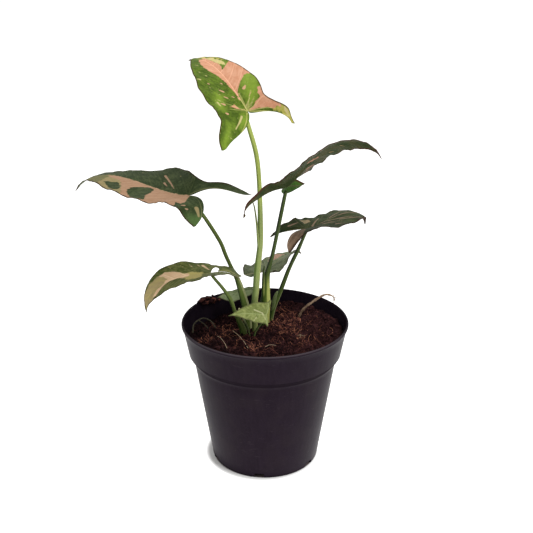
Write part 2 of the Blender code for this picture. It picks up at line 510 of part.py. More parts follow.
def make_stem(name, points):
    verts, faces = tube(points)
    stem = face_out(make_object(name, verts, faces, COLOURS.get(name, COLOURS["stem"])))
    if name in SHEATHS:
        verts, faces = tube(SHEATHS[name], spacing=5.0, sides=8)
        combine(stem, face_out(make_object("sheath", verts, faces, COLOURS["stem"])), "UNION")
    return stem


def main():
    clear_scene()
    plant = bpy.data.objects.new("arrowhead_plant", None)
    bpy.context.scene.collection.objects.link(plant)
    pieces = [make_pot(), make_soil(), make_rim_crumbs()]
    pieces += [make_blade(name, leaf) for name, leaf in LEAVES.items()]
    pieces += [make_stem(name, points) for name, points in STEMS.items()]
    for piece in pieces:
        piece.parent = plant
        piece.data.shade_smooth()
        piece.data.set_sharp_from_angle(angle=math.radians(40))


main()
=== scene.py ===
"""The looks of a young arrowhead plant in its nursery pot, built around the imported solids.

Sizes are in millimetres and degrees, and become metres when a mesh is built. The photographed front faces -Y.
"""
import math

import bmesh
import bpy
import numpy as np
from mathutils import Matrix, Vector, noise


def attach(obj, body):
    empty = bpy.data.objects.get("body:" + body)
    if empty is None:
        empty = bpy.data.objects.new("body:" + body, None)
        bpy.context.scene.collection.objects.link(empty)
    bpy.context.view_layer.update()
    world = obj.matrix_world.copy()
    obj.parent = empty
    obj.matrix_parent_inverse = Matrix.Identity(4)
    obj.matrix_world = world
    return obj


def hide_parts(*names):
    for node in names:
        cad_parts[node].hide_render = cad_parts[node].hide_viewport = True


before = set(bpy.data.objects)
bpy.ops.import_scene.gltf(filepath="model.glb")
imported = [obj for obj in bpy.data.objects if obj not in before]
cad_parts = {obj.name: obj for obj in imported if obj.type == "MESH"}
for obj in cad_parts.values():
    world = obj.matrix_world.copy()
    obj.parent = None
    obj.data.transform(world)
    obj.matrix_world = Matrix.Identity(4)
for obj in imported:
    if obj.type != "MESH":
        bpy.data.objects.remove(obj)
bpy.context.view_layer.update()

# The studio, placed in metres: a long lens a little above the leaves, a bright sky, two soft panels, and a wide
# pale floor that is lit from within like a light table.
LENS_DOWN = 21.27
FOCAL_PIXELS, PHOTO_PIXELS, SENSOR = 900, 533, 36.0
PANELS = (("key_panel", (0.6, -0.55, 1.25), 0.6, 11.0), ("top_panel", (-0.2, 0.2, 1.4), 0.7, 6.0))
PANELS_AIM = (0, 0, 0.12)
camera = bpy.data.objects.new("camera", bpy.data.cameras.new("camera"))
camera.location = (0.00109, -0.5895, 0.378)
camera.rotation_euler = (math.radians(90 - LENS_DOWN), 0, 0)
camera.data.lens = SENSOR * FOCAL_PIXELS / PHOTO_PIXELS
bpy.context.scene.collection.objects.link(camera)
bpy.context.scene.camera = camera
bpy.context.scene.view_settings.view_transform = "Standard"

sky = bpy.data.worlds.new("studio")
sky.use_nodes = True
sky.node_tree.nodes["Background"].inputs["Color"].default_value = (1.0, 0.99, 0.97, 1)
sky.node_tree.nodes["Background"].inputs["Strength"].default_value = 0.62
bpy.context.scene.world = sky

for name, place, width, power in PANELS:
    light = bpy.data.lights.new(name, "AREA")
    light.size, light.energy = width, power
    panel = bpy.data.objects.new(name, light)
    panel.location = place
    panel.rotation_euler = (Vector(PANELS_AIM) - Vector(place)).to_track_quat("-Z", "Y").to_euler()
    bpy.context.scene.collection.objects.link(panel)


class Wire:
    """A value in a tree of nodes. Arithmetic on wires adds Math nodes, or Vector Math nodes for vectors."""

    def __init__(self, tree, socket=None):
        self.tree = tree
        self.socket = socket

    def node(self, kind, settings, values, out=0):
        """Adds a node: its settings first, then a value or a wire for each of its sockets."""
        made = self.tree.nodes.new(kind)
        for name, value in settings.items():
            setattr(made, name, value)
        for key, value in values.items():
            if isinstance(value, Wire):
                self.tree.links.new(value.socket, made.inputs[key])
            else:
                made.inputs[key].default_value = value
        return Wire(self.tree, made.outputs[out])

    def work(self, operation, *terms):
        vector = any(isinstance(t, tuple) or isinstance(t, Wire) and t.socket.type == "VECTOR" for t in terms)
        if vector:
            terms = [t if isinstance(t, (Wire, tuple)) else (t, t, t) for t in terms]
        kind = "ShaderNodeVectorMath" if vector else "ShaderNodeMath"
        return self.node(kind, {"operation": operation}, dict(enumerate(terms)))

    def __add__(self, other):
        return self.work("ADD", self, other)

    def __sub__(self, other):
        return self.work("SUBTRACT", self, other)

    def __rsub__(self, other):
        return self.work("SUBTRACT", other, self)

    def __mul__(self, other):
        return self.work("MULTIPLY", self, other)

    __radd__, __rmul__ = __add__, __mul__

    def __pow__(self, other):
        return self.work("POWER", self, other)

    def __mod__(self, other):
        return self.work("FLOORED_MODULO", self, other)

    def __abs__(self):
        return self.work("ABSOLUTE", self)

    def rise(self, start, end):
        """0 up to start, 1 from end on, smooth between; start may be the larger."""
        return self.node("ShaderNodeMapRange", {"interpolation_type": "SMOOTHSTEP"}, {0: self, 1: start, 2: end})

    def part(self, axis):
        return self.node("ShaderNodeSeparateXYZ", {}, {0: self}, out="XYZ".index(axis))

    def grain(self, scale, detail=2.0, rough=0.5):
        """Noise from 0 to 1 on this vector."""
        return self.node("ShaderNodeTexNoise", {}, dict(Vector=self, Scale=scale, Detail=detail, Roughness=rough))

    def tint(self, low, high):
        """The first colour where this is 0 and the second where it is 1."""
        low, high = (c if isinstance(c, Wire) else (*c, 1.0) for c in (low, high))
        return self.node("ShaderNodeMix", {"data_type": "RGBA"}, {0: self, 6: low, 7: high}, out=2)

    def bump(self, height, strength):
        """The normal over a height in metres."""
        return self.node("ShaderNodeBump", {}, dict(Strength=strength, Distance=1.0, Height=height))

    def place(self):
        """The point on the piece, in millimetres."""
        return self.node("ShaderNodeTexCoord", {}, {}, out=3) * 1000.0

    def own(self, name, out=2):
        """A number, or with out=1 a vector, that the mesh carries at each point."""
        return self.node("ShaderNodeAttribute", {"attribute_name": name}, {}, out=out)


def finish(name, fixed, paint):
    """A material: fixed values stay on the shader's own sockets, and paint gives the wires of those that vary."""
    material = bpy.data.materials.new(name)
    material.use_nodes = True
    shader = material.node_tree.nodes["Principled BSDF"]
    for socket, value in fixed.items():
        shader.inputs[socket].default_value = value
    for socket, wire in paint(Wire(material.node_tree)).items():
        material.node_tree.links.new(wire.socket, shader.inputs[socket])
    return material


def paint_floor(w):
    """Near white and glowing, brightest round the pot as painted light that fills its shadow, and dark under it as
    painted shade, where its notches would shine.
    """
    off_axis = w.node("ShaderNodeVectorMath", {"operation": "LENGTH"}, {0: w.place()}, out=1)
    # Painted shade: the floor is dark under the pot.
    tone = off_axis.rise(38.4, 39.4).tint((0.14, 0.11, 0.11), (0.93, 0.93, 0.925))
    away = w.node("ShaderNodeVectorMath", {"operation": "DISTANCE"}, {0: w.place(), 1: (-2.0, -0.5, 0.0)}, out=1)
    # Painted light: the glow is strongest near the pot, to fill the pot's shadow on the floor.
    shadow_fill_glow = away.rise(120.0, 45.0).tint((1, 1, 1), (2.1, 2.1, 2.1))
    return {"Base Color": tone, "Emission Color": away.rise(39.5, 44.5).tint((0, 0, 0), shadow_fill_glow)}


floor_mesh = bpy.data.meshes.new("floor")
shape = bmesh.new()
bmesh.ops.create_circle(shape, cap_ends=True, segments=96, radius=9.0)
shape.to_mesh(floor_mesh)
shape.free()
floor_mesh.materials.append(finish(
    "floor_paint", {"Roughness": 0.9, "Specular IOR Level": 0.1, "Emission Strength": 0.45}, paint_floor))
floor = bpy.data.objects.new("floor", floor_mesh)
bpy.context.scene.collection.objects.link(floor)


# The pot: a thin nursery pot, moulded in one piece of black plastic, with a straight taper, a stepped collar with
# a rolled lip, and notches in the foot for water. The wall is matte with faint upright flow marks and scuffs.
MM = 0.001
POT_HEIGHT, POT_STEP, POT_FLOOR, POT_WALL = 107.5, 84.5, 2.4, 1.2
POT_SEGMENTS = 160
DRAINS = dict(count=6, width=8.0, height=3.6, first=-96.0, inner=34.9, outer=43.4, narrow=0.8)
EDGE_ANGLE = 50


def build(name, points, faces, material, numbers=None):
    """Millimetre points to a smooth mesh object in metres, with named numbers or vectors at its points."""
    mesh = bpy.data.meshes.new(name)
    mesh.from_pydata((np.asarray(points, float) * MM).tolist(), [], [list(f) for f in faces])
    for key, values in (numbers or {}).items():
        values = np.asarray(values, np.float32)
        kind, store = ("FLOAT", "value") if values.ndim == 1 else ("FLOAT_VECTOR", "vector")
        mesh.attributes.new(key, kind, "POINT").data.foreach_set(store, values.ravel())
    mesh.shade_smooth()
    mesh.materials.append(material)
    piece = bpy.data.objects.new(name, mesh)
    bpy.context.scene.collection.objects.link(piece)
    return piece


def settle(piece):
    """Applies the piece's modifiers to its mesh."""
    graph = bpy.context.evaluated_depsgraph_get()
    mesh = bpy.data.meshes.new_from_object(piece.evaluated_get(graph), depsgraph=graph)
    piece.modifiers.clear()
    old, piece.data = piece.data, mesh
    bpy.data.meshes.remove(old)
    mesh.name = piece.name


def outward(piece):
    """Turns the faces of a closed piece to face out."""
    shape = bmesh.new()
    shape.from_mesh(piece.data)
    bmesh.ops.recalc_face_normals(shape, faces=shape.faces)
    shape.to_mesh(piece.data)
    shape.free()


def ring(radius, z, segments):
    angles = np.linspace(0, 2 * math.pi, segments, endpoint=False)
    return [(radius * math.cos(a), radius * math.sin(a), z) for a in angles]


def round_faces(rings, segments):
    """Faces of a closed round body, whose points are one on the axis, the rings, and one on the axis."""
    last, faces = 1 + rings * segments, []
    for k in range(segments):
        n = (k + 1) % segments
        faces.append((0, 1 + n, 1 + k))
        faces += [(i + k, i + n, i + segments + n, i + segments + k) for i in range(1, last - segments, segments)]
        faces.append((last - segments + k, last - segments + n, last))
    return faces


def wall_radius(z):
    """Inner radius of the pot at height z."""
    heights = [POT_FLOOR, POT_STEP - 7.5, POT_STEP - 3.5, POT_STEP, POT_HEIGHT - 2.5, POT_HEIGHT]
    return float(np.interp(z, heights, [39.7, 51.3, 52.1, 55.1, 59.4, 59.6])) - POT_WALL


def paint_pot(w):
    """Near black with a violet cast: flow marks, dull blotches, dust, a painted highlight along the front of the
    lip and painted shade in a band under the step.
    """
    at = w.place()
    upright = (at * (1.0, 1.0, 0.12)).grain(0.35, 4)
    blotch = at.grain(0.06, 3)
    scuff = (at * (0.6, 0.6, 2.2)).grain(0.22, 5, 0.7).rise(0.6, 0.68)
    dust = at.grain(0.9, 4, 0.7).rise(0.55, 0.8) * 0.35
    base = upright.rise(0.3, 0.7).tint((0.0098, 0.0064, 0.0116), (0.0125, 0.0083, 0.0148))
    base = (blotch.rise(0.45, 0.7) * 0.5).tint(base, (0.016, 0.0115, 0.0155))
    base = (at.grain(1.3, 3, 0.7).rise(0.45, 0.7) * 0.4).tint(base, (0.021, 0.0145, 0.022))
    base = (scuff * 0.25 + dust * 0.35).tint(base, (0.045, 0.036, 0.042))
    # Painted highlight: a pale line along the top of the lip, only at the front.
    painted_lip_highlight = at.part("Z").rise(106.4, 107.2) * at.part("Y").rise(-5.0, -45.0)
    base = (painted_lip_highlight * 0.5).tint(base, (0.085, 0.07, 0.08))
    # Painted shade: a dark band on the underside of the step below the collar, which is also made rough.
    painted_step_shade = at.part("Z").rise(79.6, 81.0) * at.part("Z").rise(85.2, 84.0)
    base = (painted_step_shade * 0.5).tint(base, (0.003, 0.0014, 0.003))
    rough = 0.36 + upright * 0.1 + dust * 0.3 + painted_step_shade * 0.5
    return {"Base Color": base, "Roughness": rough,
            "Normal": w.bump(upright * 0.00012 + at.grain(2.2, 3) * 0.00002, 0.5)}


pot_finish = finish("pot_plastic", {"Specular IOR Level": 0.045, "Specular Tint": (1.0, 0.64, 0.72, 1.0)},
                    paint_pot)
foot = [(21.6, 0), (22.3, 0.2), (22.8, 0.8), (23.3, 1.0), (31.7, 1.0), (32.2, 0.8), (32.7, 0.2), (33.4, 0),
        (38.1, 0), (38.9, 0.2), (39.3, 0.7), (39.5, 1.4)]
taper = [(39.5 + (51.1 - 39.5) * i / 10, 1.4 + (POT_STEP - 9.4) * i / 10) for i in range(1, 11)]
step = [(r, POT_STEP + z) for r, z in ((51.25, -6.6), (51.6, -5.2), (52.1, -4.1), (54.3, -1.1), (54.8, -0.7),
                                       (55.15, -0.1), (55.25, 0.6))]
collar = [(55.25 + (59.0 - 55.25) * i / 5, POT_STEP + 0.6 + 19.6 * i / 5) for i in range(1, 6)]
lip = [(r, POT_HEIGHT + z) for r, z in ((59.2, -2.55), (59.7, -2.2), (59.98, -1.6), (59.98, -0.9), (59.7, -0.3),
                                        (59.3, -0.05), (59.0, 0), (58.75, -0.15), (58.5, -0.7))]
levels = [POT_HEIGHT - d for d in (2.5, 9, 16)] + [POT_STEP - d for d in (-0.6, 0.6, 3.5, 5, 7.5)] + [50, 25, 6]
inside = [(wall_radius(z), z) for z in levels]
inside += [(wall_radius(POT_FLOOR) - 0.5, POT_FLOOR + 0.5), (wall_radius(POT_FLOOR) - 1.3, POT_FLOOR)]
profile = foot + taper + step + collar + lip + inside
points = [(0, 0, 0)] + [p for r, z in profile for p in ring(r, z, POT_SEGMENTS)] + [(0, 0, POT_FLOOR)]
pot = build("nursery_pot", points, round_faces(len(profile), POT_SEGMENTS), pot_finish)
outward(pot)
for k in range(DRAINS["count"]):
    turn = math.radians(DRAINS["first"] + 360.0 * k / DRAINS["count"])
    corners = []
    for z, narrow in ((-1.0, 1.0), (DRAINS["height"], DRAINS["narrow"])):
        for r, t in ((DRAINS["inner"], -1), (DRAINS["outer"], -1), (DRAINS["outer"], 1), (DRAINS["inner"], 1)):
            y = t * DRAINS["width"] / 2 * narrow
            corners.append((r * math.cos(turn) - y * math.sin(turn), r * math.sin(turn) + y * math.cos(turn), z))
    sides = [(3, 2, 1, 0), (4, 5, 6, 7), (0, 1, 5, 4), (1, 2, 6, 5), (2, 3, 7, 6), (3, 0, 4, 7)]
    cutter = build("drain", corners, sides, pot_finish)
    outward(cutter)
    cut = pot.modifiers.new("drain", "BOOLEAN")
    cut.operation, cut.solver, cut.object = "DIFFERENCE", "EXACT", cutter
    settle(pot)
    bpy.data.objects.remove(cutter, do_unlink=True)
pot.data.set_sharp_from_angle(angle=math.radians(EDGE_ANGLE))
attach(pot, "root")
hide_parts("pot")


# The soil: coir crumbs and fibres, dark and moist, filled to just under the lip, with a mound round the stems and
# a dark hollow at the back left. The bed is one closed body; loose crumbs, chips and fibres lie on it.
SOIL_LEVEL, SOIL_RADIUS = 99.0, 55.0
LUMPS = ((14.0, -2.0, 4.5, 14.0), (-28.0, 28.0, -13.0, 16.0), (-46.0, -4.0, -4.0, 14.0), (0.0, -50.0, 2.0, 26.0))
BED_RINGS, BED_SEGMENTS, BED_SHADE = 92, 300, 0.12
GROUND_STEP = 2.0


def soil_height(x, y):
    """Height of the soil with its mound, hollows and waves, as the solid has it."""
    z = SOIL_LEVEL
    for cx, cy, high, wide in LUMPS:
        z += high * math.exp(-((x - cx) ** 2 + (y - cy) ** 2) / (2 * wide ** 2))
    return z + 0.7 * math.sin(0.31 * x + 1.3) * math.sin(0.27 * y + 0.4) + 0.5 * math.sin(0.53 * x - 0.41 * y)


def lie_of(x, y):
    """The finer surface of the bed: the solid's height broken into clods."""
    p = Vector((x, y, 0))
    clod = noise.fractal(p * 0.16, 1.0, 2.0, 4) * 1.5
    crumb = 0.9 - noise.turbulence(p * 0.33, 4, True) * 1.1
    edge = min(1.0, max(0.0, (SOIL_RADIUS + 1.0 - math.hypot(x, y)) / 4.0))
    return soil_height(x, y) + (clod + 0.9 * crumb) * (0.35 + 0.65 * edge) - 0.5


def paint_soil(w):
    """Dark red-brown coir: each crumb has its own shade, with paler fibres in it."""
    at, shade = w.place(), w.own("shade")
    lump = at.grain(0.22, 3)
    fine = at.grain(1.6, 4, 0.7)
    fibre = (at * (0.5, 2.6, 1.5)).grain(0.8, 2).rise(0.6, 0.72)
    # Painted light and shade: the soil is lighter towards the right and darker towards the left edge by the wall.
    side = at.part("X").rise(5, 30) * 0.14 - at.part("X").rise(-28, -54) * 0.2
    tone = (lump * 0.3 + fine * 0.4 + shade * 0.6 + side - 0.2).rise(0.1, 0.9)
    base = tone.tint((0.0062, 0.0025, 0.0034), (0.055, 0.0195, 0.021))
    base = (fibre * shade.rise(0.3, 0.9) * 0.5).tint(base, (0.2, 0.085, 0.05))
    base = (shade.rise(0.8, 1.0) * 0.85).tint(base, (0.165, 0.058, 0.042))
    base = shade.rise(1.05, 1.3).tint(base, (0.42, 0.175, 0.105))
    return {"Base Color": base, "Roughness": 0.95 - fibre * 0.2,
            "Normal": w.bump(fine * 0.0006 + lump * 0.0008 + fibre * 0.0001, 0.7)}


soil_finish = finish("coir_soil", {"Specular IOR Level": 0.1, "Specular Tint": (1.0, 0.66, 0.62, 1.0)}, paint_soil)
hidden = [(wall_radius(z) - 0.5 - less, z + up) for z, less, up in (
    (POT_FLOOR, 1.4, 0.6), (POT_FLOOR + 3, 0.2, 0), (POT_STEP - 7.6, 0, 0), (POT_STEP - 3.6, 0, 0),
    (POT_STEP + 0.2, 0.1, 0))]
points = [(0, 0, hidden[0][1])] + [p for r, z in hidden for p in ring(r, z, BED_SEGMENTS)]
for i in range(BED_RINGS):
    f = 1.0 - i / BED_RINGS
    for a in np.linspace(0, 2 * math.pi, BED_SEGMENTS, endpoint=False):
        z = min(lie_of(SOIL_RADIUS * f * math.cos(a), SOIL_RADIUS * f * math.sin(a)), POT_HEIGHT - 1.5)
        r = wall_radius(z) - 0.55 if i == 0 else SOIL_RADIUS * f
        points.append((r * math.cos(a), r * math.sin(a), z))
points.append((0, 0, lie_of(0, 0)))
bed = build("soil_bed", points, round_faces(len(hidden) + BED_RINGS, BED_SEGMENTS), soil_finish,
            {"shade": np.full(len(points), BED_SHADE)})
outward(bed)
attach(bed, "root")
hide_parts("soil")


class Patch:
    """A Geometry Nodes tree with named inputs, for things strewn on a ground; t["Label"] is the wire of one."""

    def __init__(self, name, inputs, seed):
        """Scatters points on the ground, each with a shade of its own."""
        self.tree = bpy.data.node_groups.new(name, "GeometryNodeTree")
        for way in ("INPUT", "OUTPUT"):
            self.tree.interface.new_socket("Geometry", in_out=way, socket_type="NodeSocketGeometry")
        self.keys = {}
        for label in inputs.split():
            kind = {"Seed": "Int", "Finish": "Material"}.get(label, "Float")
            made = self.tree.interface.new_socket(label, in_out="INPUT", socket_type="NodeSocket" + kind)
            self.keys[label] = made.identifier
        self.given = self.tree.nodes.new("NodeGroupInput")
        self.add = Wire(self.tree).node
        spots = self.add("GeometryNodeDistributePointsOnFaces", {},
                         dict(Mesh=self["Geometry"], Density=self["Density"], Seed=self["Seed"]))
        shade = self.any(seed, {2: self["Darkest"], 3: self["Palest"]})
        self.spots = self.add("GeometryNodeStoreNamedAttribute", {"domain": "POINT"},
                              dict(Geometry=spots, Name="shade", Value=shade))

    def __getitem__(self, label):
        return Wire(self.tree, self.given.outputs[label])

    def any(self, seed, span):
        """A random number for each point, or a vector where the span is one."""
        vector = 0 in span or 1 in span
        return self.add("FunctionNodeRandomValue", {"data_type": "FLOAT_VECTOR"} if vector else {},
                        {**span, "Seed": seed}, out=0 if vector else 1)

    def set_out(self, thing, turn, size, scale, amount):
        """A copy of the thing on every point, then bent by noise."""
        copies = self.add("GeometryNodeInstanceOnPoints", {},
                          dict(Points=self.spots, Instance=thing, Rotation=turn, Scale=size))
        real = self.add("GeometryNodeRealizeInstances", {}, dict(Geometry=copies))
        at = self.add("GeometryNodeInputPosition", {}, {})
        sway = self.add("ShaderNodeTexNoise", {}, dict(Vector=at, Scale=scale, Detail=1.0), out=1)
        sway = (sway - (0.5, 0.5, 0.5)) * amount
        return self.add("GeometryNodeSetPosition", {}, dict(Geometry=real, Offset=sway))

    def close(self, geometry):
        result = self.tree.nodes.new("NodeGroupOutput")
        clad = self.add("GeometryNodeSetMaterial", {}, dict(Geometry=geometry, Material=self["Finish"]))
        self.tree.links.new(clad.socket, result.inputs[0])
        return self

    def grow(self, name, ground, **given):
        """The tree's result on a ground mesh, as a plain mesh object."""
        piece = bpy.data.objects.new(name, ground.data.copy())
        bpy.context.scene.collection.objects.link(piece)
        live = piece.modifiers.new(name, "NODES")
        live.node_group = self.tree
        for label, value in given.items():
            live[self.keys[label]] = value
        settle(piece)
        return piece


def strew_tree():
    """Rough crumbs, each with its own size, turn and shade."""
    t = Patch("strewn_crumbs", "Density Smallest Largest Darkest Palest Seed Finish", 7)
    turn = t.any(3, {1: (6.28, 6.28, 6.28)})
    wide = t.add("ShaderNodeMapRange", {}, {0: t.any(5, {}) ** 2.2, 3: t["Smallest"], 4: t["Largest"]})
    squat = t.any(9, {0: (0.6, 0.45, 0.25), 1: (1.7, 1.0, 0.75)})
    ball = t.add("GeometryNodeMeshIcoSphere", {}, dict(Radius=1.0, Subdivisions=1))
    return t.close(t.set_out(ball, turn, squat * wide, 900.0, 0.0016))


def fibre_tree():
    """Thin curved fibres at every heading, with their ends bent up or down."""
    t = Patch("coir_fibres", "Density Length Thickness Tilt Bend Darkest Palest Seed Finish", 17)
    low = t.add("ShaderNodeCombineXYZ", {}, {0: 0.0, 1: t["Tilt"] * -1.0, 2: 0.0})
    high = t.add("ShaderNodeCombineXYZ", {}, {0: 6.28, 1: t["Tilt"], 2: 6.28})
    turn = t.any(13, {0: low, 1: high})
    long = t.any(15, {2: 0.35, 3: 1.0}) * t["Length"]
    line = t.add("GeometryNodeCurvePrimitiveLine", {}, {"Start": (-0.5, 0, 0), "End": (0.5, 0, 0)})
    line = t.add("GeometryNodeResampleCurve", {}, dict(Curve=line, Count=7))
    rim = t.add("GeometryNodeCurvePrimitiveCircle", {}, dict(Resolution=3, Radius=t["Thickness"]))
    return t.close(t.add("GeometryNodeCurveToMesh", {}, {
        "Curve": t.set_out(line, turn, long, 150.0, t["Bend"]), "Profile Curve": rim, "Fill Caps": True}))


def patch_of_ground(name, inside):
    """The part of the bed's surface where inside(x, y) holds, for things to be strewn on."""
    span = np.arange(-56, 57, GROUND_STEP)
    n = len(span)
    points = [(x, y, lie_of(x, y)) for y in span for x in span]
    faces = [(j * n + i, j * n + i + 1, (j + 1) * n + i + 1, (j + 1) * n + i) for j in range(n - 1)
             for i in range(n - 1) if inside(span[i] + GROUND_STEP / 2, span[j] + GROUND_STEP / 2)]
    return build(name, points, faces, soil_finish)


strew, fibres = strew_tree(), fibre_tree()
CHIP_HEAPS = ((9, 35, 5), (16, 25, 6), (20, 13.5, 7), (13, 2.4, 7), (18, -7, 8), (5, -1, 4), (-2, -23, 3),
              (-7, -33, 5), (-30, -5, 4), (-43, -9, 5), (-34, 17, 4), (25, -18, 4))
ground = patch_of_ground("ground", lambda x, y: math.hypot(x, y) < 54)
middle = patch_of_ground("middle", lambda x, y: math.hypot(x, y) < 46)
heaps = patch_of_ground("heaps", lambda x, y: any(math.hypot(x - cx, y - cy) < r for cx, cy, r in CHIP_HEAPS))
CRUMBS = "Density Smallest Largest Darkest Palest Seed".split()
FIBRES = "Density Length Thickness Tilt Bend Darkest Palest Seed".split()
for name, tree, where, labels, sizes in (
        ("fine_crumbs", strew, ground, CRUMBS, (620000.0, 0.0004, 0.0015, 0.0, 0.9, 1)),
        ("coarse_crumbs", strew, ground, CRUMBS, (90000.0, 0.0008, 0.0025, 0.0, 0.85, 4)),
        ("coir_chips", strew, heaps, CRUMBS, (900000.0, 0.0004, 0.0017, 0.55, 1.32, 8)),
        ("fine_fibres", fibres, middle, FIBRES, (420000.0, 0.01, 0.00013, 0.5, 0.008, 0.1, 1.02, 2)),
        ("chip_fibres", fibres, heaps, FIBRES, (520000.0, 0.008, 0.00017, 0.8, 0.007, 0.75, 1.4, 9)),
        ("loose_fibres", fibres, middle, FIBRES, (40000.0, 0.02, 0.00018, 0.5, 0.012, 0.6, 1.3, 6))):
    piece = tree.grow(name, where, Finish=soil_finish, **dict(zip(labels, sizes)))
    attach(piece, "root")
for where in (ground, middle, heaps):
    bpy.data.objects.remove(where, do_unlink=True)


# The crumb on the rim: a heap of the same coir that was spilt on the lip at the back left when the pot was filled,
# with its right end stuck to the wall inside. A clod is its angle, way out, height over the lip and size.
RIM_CLODS = ((133, 58.1, 0.4, 0.6), (136, 58.1, 0.6, 0.9), (138.5, 58.2, 0.8, 1.2), (141, 58.1, 1.0, 1.4),
             (143.5, 58.3, 1.0, 1.5), (146, 58.1, 1.0, 1.4), (148.3, 58.2, 0.7, 1.0), (129.5, 56.6, -3.3, 0.9),
             (131.5, 56.4, -2.6, 1.2), (134, 56.3, -1.9, 1.4), (136.5, 56.4, -1.2, 1.4), (134.5, 56.3, -3.6, 1.0),
             (139, 56.4, -1.9, 1.3), (142, 56.4, -2.1, 1.3), (145, 56.5, -1.4, 1.1))
points, faces, shades = [], [], []
for k, (angle, out, high, size) in enumerate(RIM_CLODS):
    shape = bmesh.new()
    bmesh.ops.create_icosphere(shape, subdivisions=4, radius=1.0)
    a, first = math.radians(angle), len(points)
    centre = np.array((out * math.cos(a), out * math.sin(a), POT_HEIGHT + high))
    for v in shape.verts:
        p = np.array(v.co) * (size * 1.4, size * 1.1, size * 0.9) + centre
        x, y, z = p + np.array(v.co) * (noise.fractal(Vector(p) * 0.6, 0.8, 2.1, 5) * 1.2)
        if high > 0:
            z = max(z, POT_HEIGHT + 0.02)
        else:
            less = min(1.0, (wall_radius(z) - 0.1) / math.hypot(x, y))
            x, y = x * less, y * less
        points.append((x, y, z))
        shades.append(0.75 + 0.2 * math.sin(3 * k))
    faces += [tuple(first + v.index for v in f.verts) for f in shape.faces]
    shape.free()
rim_soil = build("rim_soil", points, faces, soil_finish, {"shade": shades})
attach(rim_soil, "root")
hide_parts("rim_crumbs")


# A leaf: one arrow-shaped blade, two lobes back from the stem's end, thin and satin, folded at the midrib with
# side veins that run out and forward. Its two-coloured patches follow the side veins. Every length is flat, along
# the midrib or out from it, and t is below 0 on the left of the midrib.
BLADE_HALF, GROOVE, VEIN_GROOVE, RIPPLE = 0.2, 0.22, 0.16, 0.25
VEIN_LEAN = 0.72
LARGE_BLADE, LARGE_COLUMNS, SMALL_COLUMNS = 40, 32, 18
FAR = 30.0
USUAL_BLADE = dict(light_green=0.0, show=1.0, border=1.0, sheen=0.06)
FIELDS = dict(pink="pink", cream="cream", lime="lime", fresh="fresh", fleck="pink_", dash="cream_", ray="ray_")


def ease(x):
    x = np.clip(x, 0, 1)
    return x * x * (3 - 2 * x)


def through(q, a, b, c):
    """Quadratic that is a at 0, b at one half and c at 1."""
    return a * (1 - q) * (1 - 2 * q) + 4 * b * q * (1 - q) + c * q * (2 * q - 1)


def run_along(line):
    return np.concatenate([[0], np.cumsum(np.linalg.norm(np.diff(line, axis=0), axis=1))])


def smooth_path(points, count):
    """Catmull-Rom curve through the points, spaced evenly along its length."""
    pts = np.array(points, float)
    ext = np.vstack([2 * pts[0] - pts[1], pts, 2 * pts[-1] - pts[-2]])
    u = np.linspace(0, 1, 24, endpoint=False)[:, None]
    dense = [0.5 * (2 * b + (c - a) * u + (2 * a - 5 * b + 4 * c - d) * u ** 2 + (3 * b - a - 3 * c + d) * u ** 3)
             for a, b, c, d in (ext[i:i + 4] for i in range(len(pts) - 1))]
    dense = np.vstack(dense + [pts[-1:]])
    run = run_along(dense[:, :3])
    at = np.linspace(0, run[-1], count)
    return np.stack([np.interp(at, run, dense[:, k]) for k in range(dense.shape[1])], -1)


def headings(heading, pitch, roll):
    """Forward, right-hand and upward directions along a leaf, from angles in degrees."""
    h, p, r = np.radians(heading), np.radians(pitch), np.radians(roll)
    forward = np.stack([np.cos(p) * np.cos(h), np.cos(p) * np.sin(h), np.sin(p)], -1)
    level = np.stack([np.sin(h), -np.cos(h), np.zeros_like(h)], -1)
    up = np.cross(level, forward)
    right = np.cos(r)[:, None] * level + np.sin(r)[:, None] * up
    return forward, right, np.cross(right, forward)


def walk(forward, step):
    mid = 0.5 * (forward[1:] + forward[:-1])
    mid /= np.linalg.norm(mid, axis=1)[:, None]
    return np.concatenate([[[0, 0, 0]], np.cumsum(mid * step, 0)])


def blade_point(leaf, half, side, s, t):
    """Where the flat leaf's point s along and t out from the midrib lies in space."""
    q, r = np.linspace(0, 1, 97), np.linspace(0, 1.2, 49)
    length, back, level = leaf["length"], half["lobe"][0], np.full_like(r, leaf["roll"][0])
    forward, right, up = headings(leaf["heading"] + leaf["turn"] * q, through(q, *leaf["pitch"]),
                                  leaf["roll"][0] + (leaf["roll"][1] - leaf["roll"][0]) * q)
    spine = np.array(leaf["at"]) + walk(forward, length / 96)
    b_forward, b_right, b_up = headings(leaf["heading"] + half["sweep"] * ease(r),
                                        leaf["pitch"][0] + half["pitch"] * ease(r), level)
    b_spine = np.array(leaf["at"]) - walk(b_forward, back * 1.2 / 48)
    qf, rb = np.clip(s / length, 0, 1), np.clip(-s / back, 0, 1.2)

    def pick(front, rear):
        f = np.stack([np.interp(qf, q, front[:, k]) for k in range(3)], -1)
        b = np.stack([np.interp(rb, r, rear[:, k]) for k in range(3)], -1)
        return np.where((s < 0)[..., None], b, f)

    f0, fm, f1 = half["fold"]
    fold = np.radians(f0 + (f1 - f0) * qf + 4 * qf * (1 - qf) * fm + half["bend"] * ease(-s / back))
    amount, count, phase = half["wave"]
    wave = amount * np.clip(t / half["width"], 0, 1.3) ** 2 * np.sin(2 * math.pi * count * s / length + phase)
    wave = wave * ease((length - s) / (0.3 * length))
    return (pick(spine, b_spine) + side * pick(right, b_right) * (t * np.cos(fold))[..., None]
            + pick(up, b_up) * (t * np.sin(fold) + wave)[..., None])


